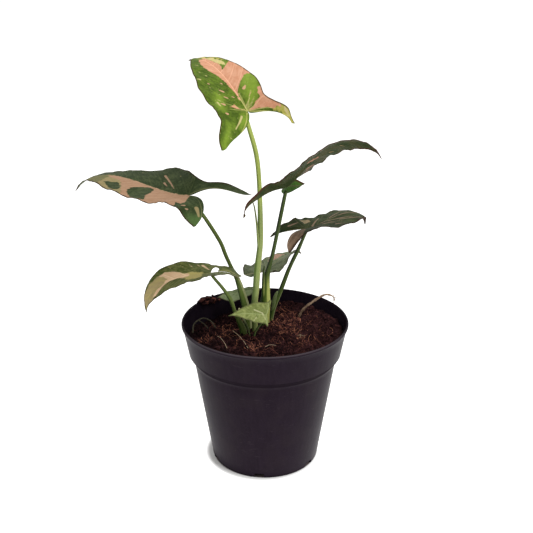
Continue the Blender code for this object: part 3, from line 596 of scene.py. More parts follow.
def half_outline(leaf, half):
    """Flat margin from the lobe's end to the tip, and the lobe's inner edge from its end to the junction."""
    length, w = leaf["length"], half["width"]
    back, out = half["lobe"]
    m8, m5, m2, m0 = half["edge"]
    waist, point, bulge = half["waist"], half["point"], half["bulge"]
    outer = [(length, 0), (0.955 * length, 0.045 * w), (0.89 * length, 0.13 * w * m8),
             (0.78 * length, 0.33 * w * m8), (0.64 * length, 0.60 * w * (m8 + m5) / 2),
             (0.48 * length, 0.83 * w * m5), (0.32 * length, 0.96 * w * m2), (0.16 * length, w * (m2 + m0) / 2),
             (0.03 * length, 0.97 * w * m0), (-0.30 * back, (0.30 * w * m0 + 0.70 * out) * 0.98 * waist),
             (-0.62 * back, out * (0.5 + 0.5 * waist) * 1.06), (-0.88 * back, out * (1.06 - 0.05 * point)),
             (-back, out)]
    inner = [(-back, out), (-(0.99 - 0.03 * point) * back, out * (0.86 + 0.06 * point)),
             (-0.80 * back, out * (0.42 + 0.25 * (1 - bulge) + 0.14 * point)),
             (-0.45 * back, out * (0.16 + 0.16 * (1 - bulge))), (-0.15 * back, out * 0.05), (0, 0)]
    if "eye" in half:
        inner[-3:] = [(-a * back, b * out) for a, b in half["eye"]] + [(0, 0)]
    return smooth_path(outer[::-1], 400), smooth_path(inner, 120)


def half_grid(leaf, half, lobe_rows, rows, cols):
    """Flat points of one half: rows run from the lobe's end past the junction to the leaf's tip."""
    outer, inner = half_outline(leaf, half)
    o_run, i_run = run_along(outer), run_along(inner)
    split = o_run[np.argmin(np.abs(outer[:, 0] - 0.07 * leaf["length"]))]
    u = np.linspace(0, 1, lobe_rows + 1)
    u = 0.6 * u + 0.4 * u ** 0.7
    v = np.linspace(0, 1, rows + 1)[1:]
    v = 0.75 * v + 0.25 * (1 - (1 - v) ** 2)
    at = np.concatenate([u * split, split + v * (o_run[-1] - split)])
    edge = np.stack([np.interp(at, o_run, outer[:, k]) for k in (0, 1)], -1)
    lobe = np.stack([np.interp(u * i_run[-1], i_run, inner[:, k]) for k in (0, 1)], -1)
    mid = np.vstack([lobe, np.stack([v * leaf["length"], 0 * v], -1)])
    c = np.linspace(0, 1, cols + 1)
    c = (0.8 * c + 0.2 * (1 - (1 - c) ** 2))[None, :, None]
    return mid[:, None] * (1 - c) + edge[:, None] * c


def vein_map(leaf, half, s, t):
    """At each flat point, the number of the side vein (whole on a vein), the width of one step, and the way to the
    midrib or to the main vein of the lobe."""
    curl = 0.3 / half["width"]
    foot = s - VEIN_LEAN * t - curl * t * t
    step = leaf["length"] / leaf["veins"]
    start = math.atan2(1.0, VEIN_LEAN)
    lobe = math.atan2(half["lobe"][1] * 0.62, -half["lobe"][0] * 0.9)
    turn = (lobe - start) / 2.0
    r, theta = np.hypot(s - curl * t * t, t), np.arctan2(t, s - curl * t * t)
    ahead = foot > 0
    number = np.where(ahead, foot / step, -(theta - start) / turn)
    scale = np.where(ahead, step / math.hypot(1, VEIN_LEAN), r * turn)
    spine = np.where(s > 0, t, r)
    spine = np.where(ahead, spine, np.minimum(spine, r * np.abs(theta - lobe)))
    return number, np.maximum(scale, 0.4), spine


def way_into(polygon, s, t):
    """Distance from each flat point to a polygon's edge, below 0 inside it."""
    p = np.stack([s, t], -1)
    best, inside = np.full(s.shape, 1e3), np.zeros(s.shape, bool)
    for a, b in zip(polygon, polygon[1:] + polygon[:1]):
        a, b = np.array(a, float), np.array(b, float)
        along = np.clip(((p - a) @ (b - a)) / max((b - a) @ (b - a), 1e-9), 0, 1)
        best = np.minimum(best, np.linalg.norm(p - a - along[..., None] * (b - a), axis=-1))
        cross = ((a[1] > p[..., 1]) != (b[1] > p[..., 1]))
        cut = a[0] + (p[..., 1] - a[1]) * (b[0] - a[0]) / (b[1] - a[1] if b[1] != a[1] else 1e-9)
        inside ^= cross & (p[..., 0] < cut)
    return np.where(inside, -best, best)


def way_to_line(line, s, t):
    """Distance to a line of some width that thins to its second end."""
    a, b = np.array(line[:2], float), np.array(line[2:4], float)
    p = np.stack([s, t], -1) - a
    along = np.clip(p @ (b - a) / ((b - a) @ (b - a)), 0, 1)
    return np.linalg.norm(p - along[..., None] * (b - a), axis=-1) - line[4] * (1 - 0.5 * along) / 2


def way_to_fleck(fleck, s, t):
    """Distance to a small fleck drawn out along the side veins: its place, length and width."""
    fs, ft, long, wide = fleck
    along = np.array((VEIN_LEAN, math.copysign(1.0, ft))) * long / 2 / math.hypot(VEIN_LEAN, 1.0)
    return way_to_line((fs - along[0], ft - along[1], fs + along[0], ft + along[1], wide), s, t)


def marks(leaf, kind, s, t):
    """How far each flat point is from the leaf's patches of a colour, less its green islands; or, for a kind that
    ends in _, from the flecks and lines of that colour."""
    drawn, ways = leaf["patches"], [np.full(s.shape, FAR)]
    if kind.endswith("_"):
        ways += [way_to_fleck(fleck, s, t) for fleck in drawn.get(kind + "flecks", [])]
        ways += [way_to_line(line, s, t) for line in drawn.get(kind + "lines", [])]
        return np.minimum.reduce(ways)
    ways += [way_into(patch, s, t) for patch in drawn.get(kind, [])]
    islands = [-way_into(island, s, t) for island in drawn.get("green", [])]
    return np.maximum.reduce([np.minimum.reduce(ways)] + islands)


def paint_blade(leaf):
    """The leaf's colours: greens, ragged patches of pink and cream along the pale veins, a red-brown margin."""
    def paint(w):
        flat, vein, rim, under = w.own("flat", 1), w.own("vein", 1), w.own("rim"), w.own("under")
        number, step, spine = vein.part("X"), vein.part("Y"), vein.part("Z")
        streak = w.node("ShaderNodeCombineXYZ", {}, {0: number * leaf["veins"] * 0.16, 1: flat.part("Y") * 0.1,
                                                     2: w.own("lobe")})
        ragged = (streak.grain(1.6, 3, 0.6) - 0.5) * 7.0 + (flat.grain(0.45, 2) - 0.5) * 2.0
        soft, mottle = flat.grain(0.09, 3), flat.grain(0.55, 4, 0.6)
        side_vein = abs((number + 0.5) % 1.0 - 0.5) * step
        fine_vein = abs((number * 4.0 + 0.5) % 1.0 - 0.5) * step * 0.25

        shade = soft * 0.9 + (mottle - 0.5) * 0.8 + (streak.grain(2.6, 3, 0.6) - 0.5) * 0.9 + leaf["light_green"]
        base = shade.rise(0.25, 0.8).tint(leaf["dark"], leaf["green"])
        # A brighter green patch: fresher tissue, and on the right leaf's far lobe painted light shining through
        # the blade, which there also keeps the underside's dull colour off.
        fresh = (w.own("fresh") + ragged).rise(4.0, -4.0) * 0.8
        base = (fresh * (0.6 + mottle * 0.8)).tint(base, leaf["bright"])
        show = leaf["show"]
        pale = side_vein.rise(0.55, 0.12) * (0.42 * show) + fine_vein.rise(0.2, 0.02) * (0.2 * show)
        base = pale.tint(base, leaf["vein"])
        sprinkle = streak.grain(7.0, 2, 0.55).rise(0.66, 0.72) * flat.grain(0.12, 2).rise(0.42, 0.6)
        base = (sprinkle * leaf["sprinkle"]).tint(base, leaf["cream"])
        base = ((w.own("lime") + ragged * 0.8).rise(0.9, -0.9) * 0.85).tint(base, leaf["lime"])
        cream = (w.own("cream") + ragged * 0.55).rise(0.35, -0.35)
        base = cream.tint(base, (streak.grain(3.0, 2).rise(0.35, 0.7) * 0.5).tint(leaf["cream"], leaf["lime"]))

        blush = (streak.grain(2.4, 3) * 0.7 + mottle * 0.4 - 0.05).rise(0.3, 0.75).tint(leaf["pink"], leaf["rose"])
        light_rose = tuple(min(0.85, 1.3 * c) for c in leaf["rose"])
        blush = (side_vein.rise(0.45, 0.1) * 0.45 + fine_vein.rise(0.16, 0.02) * 0.2).tint(blush, light_rose)
        pink = (w.own("pink") + ragged * 0.55).rise(0.3, -0.3)
        base = pink.tint(base, blush)
        base = (spine.rise(0.5, 0.15) * 0.7).tint(base, pink.tint(leaf["rib"], light_rose))
        base = (w.own("ray").rise(0.3, -0.2) * 0.6).tint(base, leaf["rib"])
        back = soft.rise(0.4, 0.62).tint(leaf["back"], leaf["back_pale"])
        base = (under * (0.75 - fresh * 0.85)).tint(base, back)
        small = ragged * 0.14
        base = ((w.own("dash") + small).rise(0.25, -0.25) * 0.8).tint(base, leaf["cream"])
        base = ((w.own("fleck") + small).rise(0.25, -0.25) * 0.85).tint(base, leaf["rose"])
        brown = (rim + (mottle - 0.5) * 0.5).rise(leaf["border"], 0.4 * leaf["border"]) * 0.9
        base = brown.tint(base, leaf["margin"])
        height = flat.grain(1.3, 3) * 0.00005 - side_vein.rise(0.5, 0.0) * 0.00005
        return {"Base Color": base, "Roughness": 0.44 + mottle * 0.12 + under * 0.12,
                "Normal": w.bump(height - fine_vein.rise(0.25, 0.0) * 0.00002, 0.6)}
    return paint


def grow_blade(name, node, leaf):
    """A fine blade on the solid's own form, with grooves over the veins and a rib under the midrib."""
    leaf = {**USUAL_BLADE, "bright": leaf["green"], "back_pale": leaf["back"], **leaf}
    rows = int(leaf["length"] * 1.3) + 10
    lobe_rows, cols = max(10, int(rows * 0.45)), LARGE_COLUMNS if leaf["length"] > LARGE_BLADE else SMALL_COLUMNS
    spots, faces, index = [], [], {}
    for side, key in ((-1, "left"), (1, "right")):
        half = leaf[key]
        grid = half_grid(leaf, half, lobe_rows, rows, cols)
        s, t = grid[..., 0], np.maximum(grid[..., 1], 0)
        number, step, spine = vein_map(leaf, half, s, t)
        near = abs((number + 0.5) % 1.0 - 0.5) * step
        outer = half_outline(leaf, half)[0]
        across = np.linalg.norm(grid - grid[:, -1:], axis=-1)
        rim = np.minimum(across, np.min(np.linalg.norm(grid[:, :, None] - outer[None, None, ::4], axis=-1), -1))
        sink = -GROOVE * np.exp(-(spine / 0.9) ** 2) - VEIN_GROOVE * np.exp(-(near / 1.0) ** 2) * ease(spine / 2.5)
        sink += RIPPLE * ease(1 - rim / 5.0) * np.sin(1.1 * s + 0.6 * t + side) * ease(rim / 0.4 + 0.3)
        ribbed = np.where(s >= 0, np.exp(-(t / 0.8) ** 2) * (1 - 0.75 * s / leaf["length"]), 0) * leaf["keel"]
        columns = [s, t * side, number, step, spine, rim, sink, ribbed, np.where(s < VEIN_LEAN * t, 1.0, 0.0)]
        columns += [marks(leaf, kind, s, t * side) for kind in FIELDS.values()]
        table = np.concatenate([blade_point(leaf, half, side, s, t), np.stack(columns, -1)], -1)
        last = grid.shape[0] - 1
        for i in range(last + 1):
            for j in range(cols + 1):
                tag = (side, i, j)
                if i == 0:
                    tag = (side, 0, 0)
                elif i == last:
                    tag = ("tip",)
                elif j == 0 and i >= lobe_rows:
                    tag = ("mid", i)
                if tag not in index:
                    index[tag] = len(spots)
                    spots.append(table[i, j])
                index[key, i, j] = index[tag]
        for i in range(last):
            for j in range(cols):
                quad = [index[key, i, j], index[key, i + 1, j], index[key, i + 1, j + 1], index[key, i, j + 1]]
                quad = [q for k, q in enumerate(quad) if q not in quad[:k]]
                if len(quad) > 2:
                    faces.append(quad if side < 0 else quad[::-1])
    spots = np.array(spots)
    points, n = spots[:, :3], len(spots)
    normal = np.zeros_like(points)
    for f in faces:
        corner = points[f] - points[f[0]]
        normal[f] += sum(np.cross(corner[k], corner[k + 1]) for k in range(1, len(f) - 1))
    normal /= np.linalg.norm(normal, axis=1)[:, None]
    if normal[:, 2].mean() < 0:
        normal, faces = -normal, [f[::-1] for f in faces]
    half_thick = BLADE_HALF * (0.35 + 0.65 * ease(spots[:, 8] / 0.9))
    middle = points + normal * spots[:, 9:10]
    top = middle + normal * half_thick[:, None]
    low = middle - normal * (half_thick + spots[:, 10])[:, None]
    edges = {(a, b) for f in faces for a, b in zip(f, f[1:] + f[:1])}
    walls = [(b, a, a + n, b + n) for a, b in edges if (b, a) not in edges]
    shell = faces + [[i + n for i in f[::-1]] for f in faces] + sorted(walls)
    both = np.vstack([spots, spots])
    numbers = {field: both[:, 12 + k] for k, field in enumerate(FIELDS)}
    numbers.update(flat=np.pad(both[:, 3:5], ((0, 0), (0, 1))), vein=both[:, 5:8], rim=both[:, 8],
                   lobe=both[:, 11], under=np.repeat([0.0, 1.0], n))
    material = finish(name, {"Specular IOR Level": leaf["sheen"]}, paint_blade(leaf))
    blade = build(name, np.vstack([top, low]), shell, material, numbers)
    outward(blade)
    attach(blade, "root")
    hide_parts(node)


# A stem: one round, slightly ribbed stalk that bears a leaf. Low down it is wide and flat, where its sheath wraps
# the next one, and the sheath's thin margin shows as a paler edge. It stands in the soil.
STEM_SIDES, SHEATH_SIDES, STEM_STEP = 24, 14, 1.2
USUAL_STEM = dict(light_side=(0.9, 0.4), tip=(0.1, 0.1, 0.05), tip_end=0.9, ridges=())


def tube(path, sides, ridges=(), sunk=0.0):
    """Points, faces and round places of a closed tube. A ridge is its angle, width, height, first and last place;
    sunk is how far the first ring is moved back."""
    points, around, faces = [], [], []
    run = run_along(path[:, :3])
    for i, p in enumerate(path):
        tangent = path[min(i + 1, len(path) - 1), :3] - path[max(i - 1, 0), :3]
        tangent /= np.linalg.norm(tangent)
        side = np.cross(tangent, (0, 1, 0))
        side /= np.linalg.norm(side)
        depth = np.cross(side, tangent)
        centre = p[:3] - tangent * (sunk if i == 0 else 0)
        for k in range(sides):
            a = 2 * math.pi * k / sides
            swell = 0.0
            for angle, wide, high, first, last in ridges:
                off = (math.degrees(a) - angle + 180) % 360 - 180
                held = ease((run[i] - first) / 8.0) * ease((last - run[i]) / 8.0)
                swell += high * math.exp(-(off / wide) ** 2) * float(held)
            points.append(centre + side * (p[3] + swell) * math.cos(a) + depth * (p[4] + swell) * math.sin(a))
            around.append((math.cos(a), math.sin(a), run[i]))
    count = len(points)
    for i in range(0, count - sides, sides):
        faces += [(i + k, i + (k + 1) % sides, i + sides + (k + 1) % sides, i + sides + k) for k in range(sides)]
    return points, faces + [tuple(range(sides))[::-1], tuple(range(count - sides, count))], around


def bundle(tubes):
    """The points, faces and round places of several tubes in one."""
    points, faces, around = [], [], []
    for more, more_faces, more_around in tubes:
        faces += [tuple(i + len(points) for i in f) for f in more_faces]
        points, around = points + more, around + more_around
    return points, faces, around


def path_length(points):
    return sum(math.dist(a[:3], b[:3]) for a, b in zip(points, points[1:]))


def paint_stem(look):
    """Two greens along the stem, each with painted light on one side and painted shade on the other, with
    lengthwise streaks and the sheath's pale margin.
    """
    def paint(w):
        around, run = w.own("around", 1), w.own("around", 1).part("Z")
        # Painted light and shade: across runs from the shaded side of the stem to its lit side.
        across = around.part("X") * look["light_side"][0] - around.part("Y") * look["light_side"][1]
        lines = (around * (2.2, 2.2, 0.03)).grain(1.4, 3, 0.6)
        cloud = (around * (0.4, 0.4, 0.06)).grain(1.0, 2)
        light = (across * 0.45 + 0.5 + (lines - 0.5) * 0.9 + (cloud - 0.5) * 0.5).rise(0.28, 0.75)
        base = run.rise(*look["fade"]).tint(light.tint(look["shade"], look["light"]),
                                            light.tint(look["low_shade"], look["low_light"]))
        edge, span = look["edge"]
        margin = (across + (lines - 0.5) * 0.2).rise(edge, edge + 0.12) * run.rise(*span)
        base = (margin * 0.85).tint(base, look["pale"])
        base = (w.own("tip") * (0.5 + lines * 0.5)).tint(base, look["tip"])
        return {"Base Color": base, "Roughness": 0.38 + lines * 0.16, "Normal": w.bump(lines * 0.00008, 0.6)}
    return paint


def raise_stem(name, node, points, look, sheath=None):
    """A stem on the solid's own line, with its sheath's free tip. A point ends in its two half widths."""
    look = {**USUAL_STEM, **look}
    path = smooth_path(points, int(path_length(points) / STEM_STEP))
    body = tube(path, STEM_SIDES, look["ridges"], sunk=0.6)
    tip = [0.0] * len(body[0])
    if sheath:
        flap, flap_faces, around = tube(smooth_path(sheath, int(path_length(sheath))), SHEATH_SIDES)
        fades = 0.75 * around[-1][2]
        down = path_length(points[:2]) + look["fade"][0]
        tip += [1.0 - float(ease(run / fades)) * look["tip_end"] for _, _, run in around]
        body = bundle([body, (flap, flap_faces, [(x, y, run + down) for x, y, run in around])])
    points, faces, around = body
    material = finish(name, {"Specular IOR Level": 0.16}, paint_stem(look))
    stem = build(name, points, faces, material, {"around": around, "tip": tip})
    outward(stem)
    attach(stem, "root")
    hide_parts(node)


# The top leaf: the youngest full leaf, turned to the front, bright green with half of its face and the right lobe
# salmon pink. Its stem is the tallest and the palest, with the sheath's dark free tip half way up.
grow_blade("top_blade", "top_leaf", dict(
    at=(-11.4, 3.0, 257.9), length=73, heading=126, turn=9, pitch=(36, 28, -19), roll=(22, 4), veins=8, keel=0.6,
    left=dict(width=26, fold=(30, -3, 5), lobe=(33, 29), pitch=26, bend=19, sweep=-30, bulge=0.2,
              edge=(1.3, 1.07, 1.08, 1.06), waist=0.96, point=0.6, wave=(0.7, 5, 0.4)),
    right=dict(width=19.5, fold=(31, -9, 6), lobe=(22, 31.5), pitch=-30, bend=-60, sweep=19, bulge=-0.4,
               edge=(1.12, 0.88, 0.9, 0.82), waist=0.72, point=0.8, wave=(0.6, 4, 2.0)),
    dark=(0.046, 0.082, 0.006), green=(0.11, 0.175, 0.016), vein=(0.16, 0.22, 0.04), show=0.7,
    bright=(0.2, 0.3, 0.03), sheen=0.08, lime=(0.42, 0.38, 0.08), cream=(0.52, 0.44, 0.2),
    pink=(0.475, 0.215, 0.12), rose=(0.59, 0.32, 0.205),
    rib=(0.5, 0.47, 0.16), back=(0.16, 0.22, 0.08), margin=(0.05, 0.03, 0.006), sprinkle=0.7,
    patches=dict(
        pink=[[(1, -2), (12, -1), (24, -2), (36, -6), (45, -9), (52, -7), (60, -1), (58, 3), (50, 3), (44, 4),
               (39, 3), (41, 8), (45, 14), (35, 20), (25, 18), (26, 12), (22, 6), (16, 1), (7, -1)],
              [(11, 14), (11, 20), (1, 22), (-5, 22), (-8, 21), (-11, 22), (-9, 16), (-5, 9), (0, 1), (0, 5),
               (3, 12), (8, 13)],
              [(4, -13), (6, -8), (1, -5), (1, -3), (2, -9)]],
        cream=[[(-11, 24), (-14, 27), (-18, 30), (-17, 28), (-13, 24)],
               [(64, 1), (56, 2), (47, 4), (41, 7), (45, 9), (53, 6.5), (60, 4)]],
        lime=[[(-8, 20), (-11, 26), (-14, 31), (-22, 33), (-22, 28), (-13, 20), (-10, 16)],
              [(60, 4), (53, 6.5), (46, 9), (48, 11), (55, 8)]],
        fresh=[[(46, 8), (36, 18), (24, 20), (10, 16), (2, 8), (2, 2), (12, 4), (22, 6), (30, 12), (44, 5)],
               [(-10, -22), (-31, -28), (-32, -26), (-14, -18)],
               [(-3, -5), (-5, -2), (-12, -7), (-16, -13), (-10, -11)],
               [(14, -13), (18, -17), (8, -23), (0, -20)]],
        pink_flecks=[(19, -11, 3, 1.5), (13, -11, 3, 1.0), (13, -5, 2, 1), (7, -17, 2.5, 2), (-2, -19, 1.2, 2.2),
                     (26, -7, 1.5, 1.1), (27, -17, 1.5, 1.1), (17, 7, 2.4, 2.2), (10, 8, 4, 0.7)],
        cream_flecks=[(32, -22, 2.4, 1.2), (35, -14, 1, 1.2), (11, -18, 3, 0.8), (49, -12, 2, 0.8),
                      (23, -18, 1, 0.9), (5, 3, 8, 0.9), (3, 6, 6, 0.7), (-24, -22, 3, 0.7), (40, -16, 1, 0.8),
                      (16, -15, 2, 0.7)],
        cream_lines=[(-5, -8, -17, -17, 1.5), (9, -20, 5, -20, 1.6)],
        ray_lines=[(0, 0, 12, 9, 1.0), (0, 0, 6, 9, 0.9), (0, 0, 0, 9, 0.8), (0, -1, 9, -17, 0.7),
                   (0, -1, 2, -18, 0.7), (0, -1, -14, -9, 0.7), (0, 0, -9, 15, 0.7), (1, 0, 15, 1.4, 1.5)])))
raise_stem("top_stalk", "top_stem",
           [(-12.6, 3.2, 253.4, 1.0, 0.9), (-10.8, 4.0, 247.0, 1.5, 1.3), (-5.7, 5.0, 226.8, 1.6, 1.4),
            (-3.8, 5.0, 205.0, 1.6, 1.4), (-3.2, 4.0, 178.0, 1.9, 1.4), (-3.4, 2.5, 163.8, 2.0, 1.5),
            (-5.4, 0.0, 146.0, 2.3, 1.6), (-6.4, -2.0, 132.2, 2.3, 1.6), (-7.4, -3.0, 119.7, 2.1, 1.6),
            (-7.2, -4.0, 107.0, 2.0, 1.6), (-7.0, -4.0, 88.0, 1.8, 1.6)],
           dict(light=(0.36, 0.43, 0.1), shade=(0.16, 0.22, 0.04), low_light=(0.25, 0.31, 0.1),
                low_shade=(0.1, 0.15, 0.035), fade=(45, 75), light_side=(1.0, 0.35), pale=(0.38, 0.4, 0.14),
                edge=(0.9, (60, 80)), tip=(0.02, 0.014, 0.008),
                ridges=((262, 16, 0.22, 55, 140), (20, 25, 0.12, 10, 130))),
           [(-8.3, 2.6, 195.0, 0.35, 0.35), (-7.3, 2.4, 191.6, 0.5, 0.4), (-6.3, 2.1, 185.0, 0.6, 0.4),
            (-5.4, 1.7, 176.0, 0.7, 0.45), (-4.9, 1.4, 168.0, 0.8, 0.5), (-4.4, 1.6, 158.0, 0.6, 0.5)])


# The left leaf: the largest, held level and drooping at its tip. Its near half is dull pink with two green
# islands, its far half dark green with two pink streaks. The stem leans left and is dark green.
grow_blade("left_blade", "left_leaf", dict(
    at=(-51.9, -6.0, 202.4), length=100, heading=152, turn=4.5, pitch=(-7, 7, -57), roll=(20, 5.5),
    veins=10, keel=0.6,
    left=dict(width=30, fold=(25, -2, 3.5), lobe=(36, 26), pitch=45, bend=-8, sweep=-21, bulge=0.65,
              edge=(1.05, 1.08, 1.0, 1.0), waist=1.15, point=0.35, wave=(0.9, 5, 1.0)),
    right=dict(width=28.5, fold=(25, -27, 3), lobe=(31.5, 27), pitch=-9, bend=-60, sweep=-8, bulge=0.1,
               edge=(0.92, 1.0, 1.12, 0.63), waist=0.54, point=0.0, wave=(0.6, 4, 0.0)),
    dark=(0.021, 0.034, 0.011), green=(0.06, 0.078, 0.031), light_green=-0.02, vein=(0.09, 0.11, 0.04), show=0.4,
    bright=(0.06, 0.11, 0.03), border=1.4,
    lime=(0.15, 0.14, 0.055), cream=(0.27, 0.21, 0.1), pink=(0.29, 0.165, 0.095), rose=(0.36, 0.22, 0.14),
    rib=(0.14, 0.14, 0.06), back=(0.1, 0.12, 0.06), margin=(0.03, 0.016, 0.006), sprinkle=0.25,
    patches=dict(
        pink=[[(66, -1), (58, 0), (45, 0), (28, 0), (12, 0), (-2, 0), (-7, -12), (-12, -19), (-11, -23), (-6, -23),
               (-10, -30), (-4, -36), (15, -37), (36, -36), (36, -28), (40, -22), (46, -13), (51, -7), (60, -5)]],
        cream=[[(63, -2), (60, -2), (51, -6), (46, -12), (40, -20), (36, -27), (37, -36), (50, -33), (56, -28),
                (61, -20)]],
        green=[[(58, -16), (53, -20), (46, -25), (42, -25), (42, -20), (48, -12), (51, -11), (54, -14), (57, -13)],
               [(37, -19), (34, -23), (29, -27), (22, -30), (18, -26), (23, -17), (23, -11), (25, -4), (29, -3),
                (35, -7), (38, -14)]],
        lime=[[(84, 0), (60, 1), (58, -8), (58, -28), (68, -24), (80, -14)]],
        fresh=[[(-24, -28), (-38, -28), (-38, -8), (-30, -10)]],
        pink_lines=[(29.5, 17, 14, 4.4, 1.6), (24.5, 8, 20, 5, 1.4)],
        pink_flecks=[(-15, -24, 2.4, 1.8), (-20, -24, 1.5, 1.6)],
        cream_lines=[(-22, -16, -29, -18, 3.4)], cream_flecks=[(48, 17, 1.5, 0.9), (17, 18, 1.5, 0.9)])))
raise_stem("left_stalk", "left_stem",
           [(-50.0, -5.4, 197.2, 1.0, 1.0), (-42.5, -2.0, 187.1, 1.3, 1.2), (-31.7, 2.5, 166.9, 1.4, 1.3),
            (-27.7, 4.5, 155.4, 1.4, 1.4), (-23.8, 6.0, 145.2, 1.4, 1.3), (-20.2, 6.5, 137.2, 1.8, 1.4),
            (-17.3, 6.0, 128.1, 2.4, 1.5), (-13.8, 5.0, 114.4, 2.8, 1.6), (-12.2, 4.2, 101.4, 2.6, 1.7),
            (-12.0, 4.0, 88.0, 2.2, 1.6)],
           dict(light=(0.075, 0.105, 0.02), shade=(0.013, 0.028, 0.004), low_light=(0.13, 0.19, 0.04),
                low_shade=(0.024, 0.05, 0.009), fade=(60, 85), light_side=(0.9, 0.5), pale=(0.4, 0.42, 0.2),
                edge=(0.86, (60, 72)), tip=(0.02, 0.014, 0.008),
                ridges=((8, 14, 0.3, 60, 115), (270, 18, 0.12, 60, 115))))


# The right leaf: seen from below, arching over to the right, dull grey-green with a reddish waved margin. Painted
# light shows through its far lobe as bright green. The stem is dark, with the sheath's pale edge and free tip low
# down.
grow_blade("right_blade", "right_leaf", dict(
    at=(14.3, -2.0, 207.3), length=86.5, heading=-33.5, turn=9, pitch=(39, 36, -62), roll=(6.5, 56),
    veins=9, keel=0.5,
    left=dict(width=22, fold=(19, 5, -12), lobe=(22.5, 31.5), pitch=16, bend=12, sweep=-31, bulge=0.85,
              edge=(1.25, 0.95, 0.85, 1.12), waist=0.6, point=-0.6, wave=(1.1, 6, 0.5)),
    right=dict(width=19, fold=(19, -36, -8), lobe=(21, 36), pitch=9, bend=-25, sweep=9, bulge=-0.4,
               edge=(1.0, 1.0, 0.94, 0.72), waist=0.7, point=1.15, wave=(0.6, 5, 1.5)),
    dark=(0.018, 0.032, 0.008), green=(0.05, 0.08, 0.02), vein=(0.09, 0.11, 0.04),
    bright=(0.055, 0.14, 0.018), border=1.8,
    lime=(0.08, 0.17, 0.025), cream=(0.3, 0.2, 0.1), pink=(0.36, 0.16, 0.1), rose=(0.4, 0.2, 0.13),
    rib=(0.1, 0.1, 0.045), back=(0.032, 0.044, 0.017), back_pale=(0.062, 0.056, 0.026),
    margin=(0.055, 0.018, 0.012), sprinkle=0.2,
    patches=dict(
        pink=[[(8, -20), (14, -14), (22, -12), (20, -5), (12, -9), (4, -14)]],
        fresh=[[(-1, -5), (4, -16), (-6, -32), (-28, -44), (-32, -24), (-14, -4)]],
        pink_lines=[(28.5, 4, 32, -3, 3.4), (19, -5, 23, -8.5, 2.6)], pink_flecks=[(44, 10, 4, 1.2)],
        cream_flecks=[(52, -6, 3, 1), (40, -9, 3, 1.2)])))
raise_stem("right_stalk", "right_stem",
           [(14.2, -1.7, 203.6, 1.0, 1.0), (13.5, -1.5, 200.6, 1.3, 1.2), (9.7, 0.0, 180.0, 1.4, 1.3),
            (5.4, 2.0, 157.1, 1.4, 1.3), (1.5, 3.4, 140.7, 2.1, 1.4), (0.6, 4.0, 128.9, 2.8, 1.5),
            (0.4, 4.0, 118.8, 3.2, 1.6), (0.2, 4.0, 106.9, 2.8, 1.6), (0.0, 4.0, 88.0, 2.4, 1.6)],
           dict(light=(0.055, 0.085, 0.018), shade=(0.01, 0.02, 0.004), low_light=(0.1, 0.155, 0.022),
                low_shade=(0.025, 0.05, 0.008), fade=(55, 75), light_side=(0.95, 0.3), pale=(0.5, 0.54, 0.15),
                edge=(0.5, (62, 76)), tip=(0.03, 0.05, 0.012),
                ridges=((10, 16, 0.35, 62, 115), (250, 14, 0.15, 62, 115)), tip_end=0.6),
           [(-0.5, 1.6, 148.3, 0.35, 0.35), (-0.9, 1.5, 144.4, 0.8, 0.45), (-1.1, 1.9, 138.0, 1.1, 0.5),
            (-1.3, 2.6, 130.0, 1.0, 0.6), (-0.8, 3.4, 120.0, 0.8, 0.6)])


# The middle leaf: dark green with fine cream and pink streaks along its veins, and a hooked tip. One lobe hangs to
# the front and is pink-brown. A pale-edged flap of the stem's sheath stands free near the soil.
grow_blade("middle_blade", "middle_leaf", dict(
    at=(29.2, 6.0, 174.8), length=58, heading=24, turn=13.5, pitch=(3, 8, -84), roll=(6.5, -10.5),
    veins=7, keel=0.5,
    left=dict(width=23, fold=(14, -24, 2), lobe=(26, 13.5), pitch=47, bend=8, sweep=-17, bulge=0.25,
              edge=(1.02, 1.04, 0.92, 0.84), waist=1.0, point=0.9, wave=(0.8, 5, 2.5)),
    right=dict(width=25, fold=(14, -4, 2), lobe=(29.5, 12.5), pitch=23, bend=-33, sweep=25, bulge=0.85,
               edge=(1.03, 1.06, 1.04, 1.13), waist=1.0, point=0.45, wave=(0.5, 4, 0.0)),
    dark=(0.014, 0.024, 0.006), green=(0.042, 0.058, 0.018), vein=(0.12, 0.11, 0.05),
    lime=(0.12, 0.12, 0.04), cream=(0.3, 0.22, 0.13), pink=(0.12, 0.08, 0.05), rose=(0.24, 0.16, 0.11), show=0.7,
    rib=(0.12, 0.11, 0.05), back=(0.075, 0.056, 0.036), back_pale=(0.2, 0.135, 0.105), margin=(0.03, 0.014, 0.008),
    sprinkle=0.5, border=2.0,
    patches=dict(
        pink=[[(-4, 4), (-10, 3), (-20, 3), (-30, 8), (-32, 16), (-22, 17), (-12, 14), (-5, 9)]],
        cream=[[(5, -15), (1, -14), (2, -7), (8, -10), (9, -14)]],
        pink_lines=[(-10, -9, -2, -10, 1.9), (5, -1, 16, -12, 1.6), (11, 4, 22, 13, 1.5), (16, 3, 31, 11, 1.4),
                    (20, -2, 35, -8, 1.4), (22, 9, 35, 16, 1.3), (26, 1, 41, 4, 1.2), (12, 0, 25, 1, 1.2),
                    (15, 16, 20, 22, 1.6)],
        cream_flecks=[(17, 14, 9, 0.6), (34, 12, 6, 0.6), (8, 9, 6, 0.7)])))
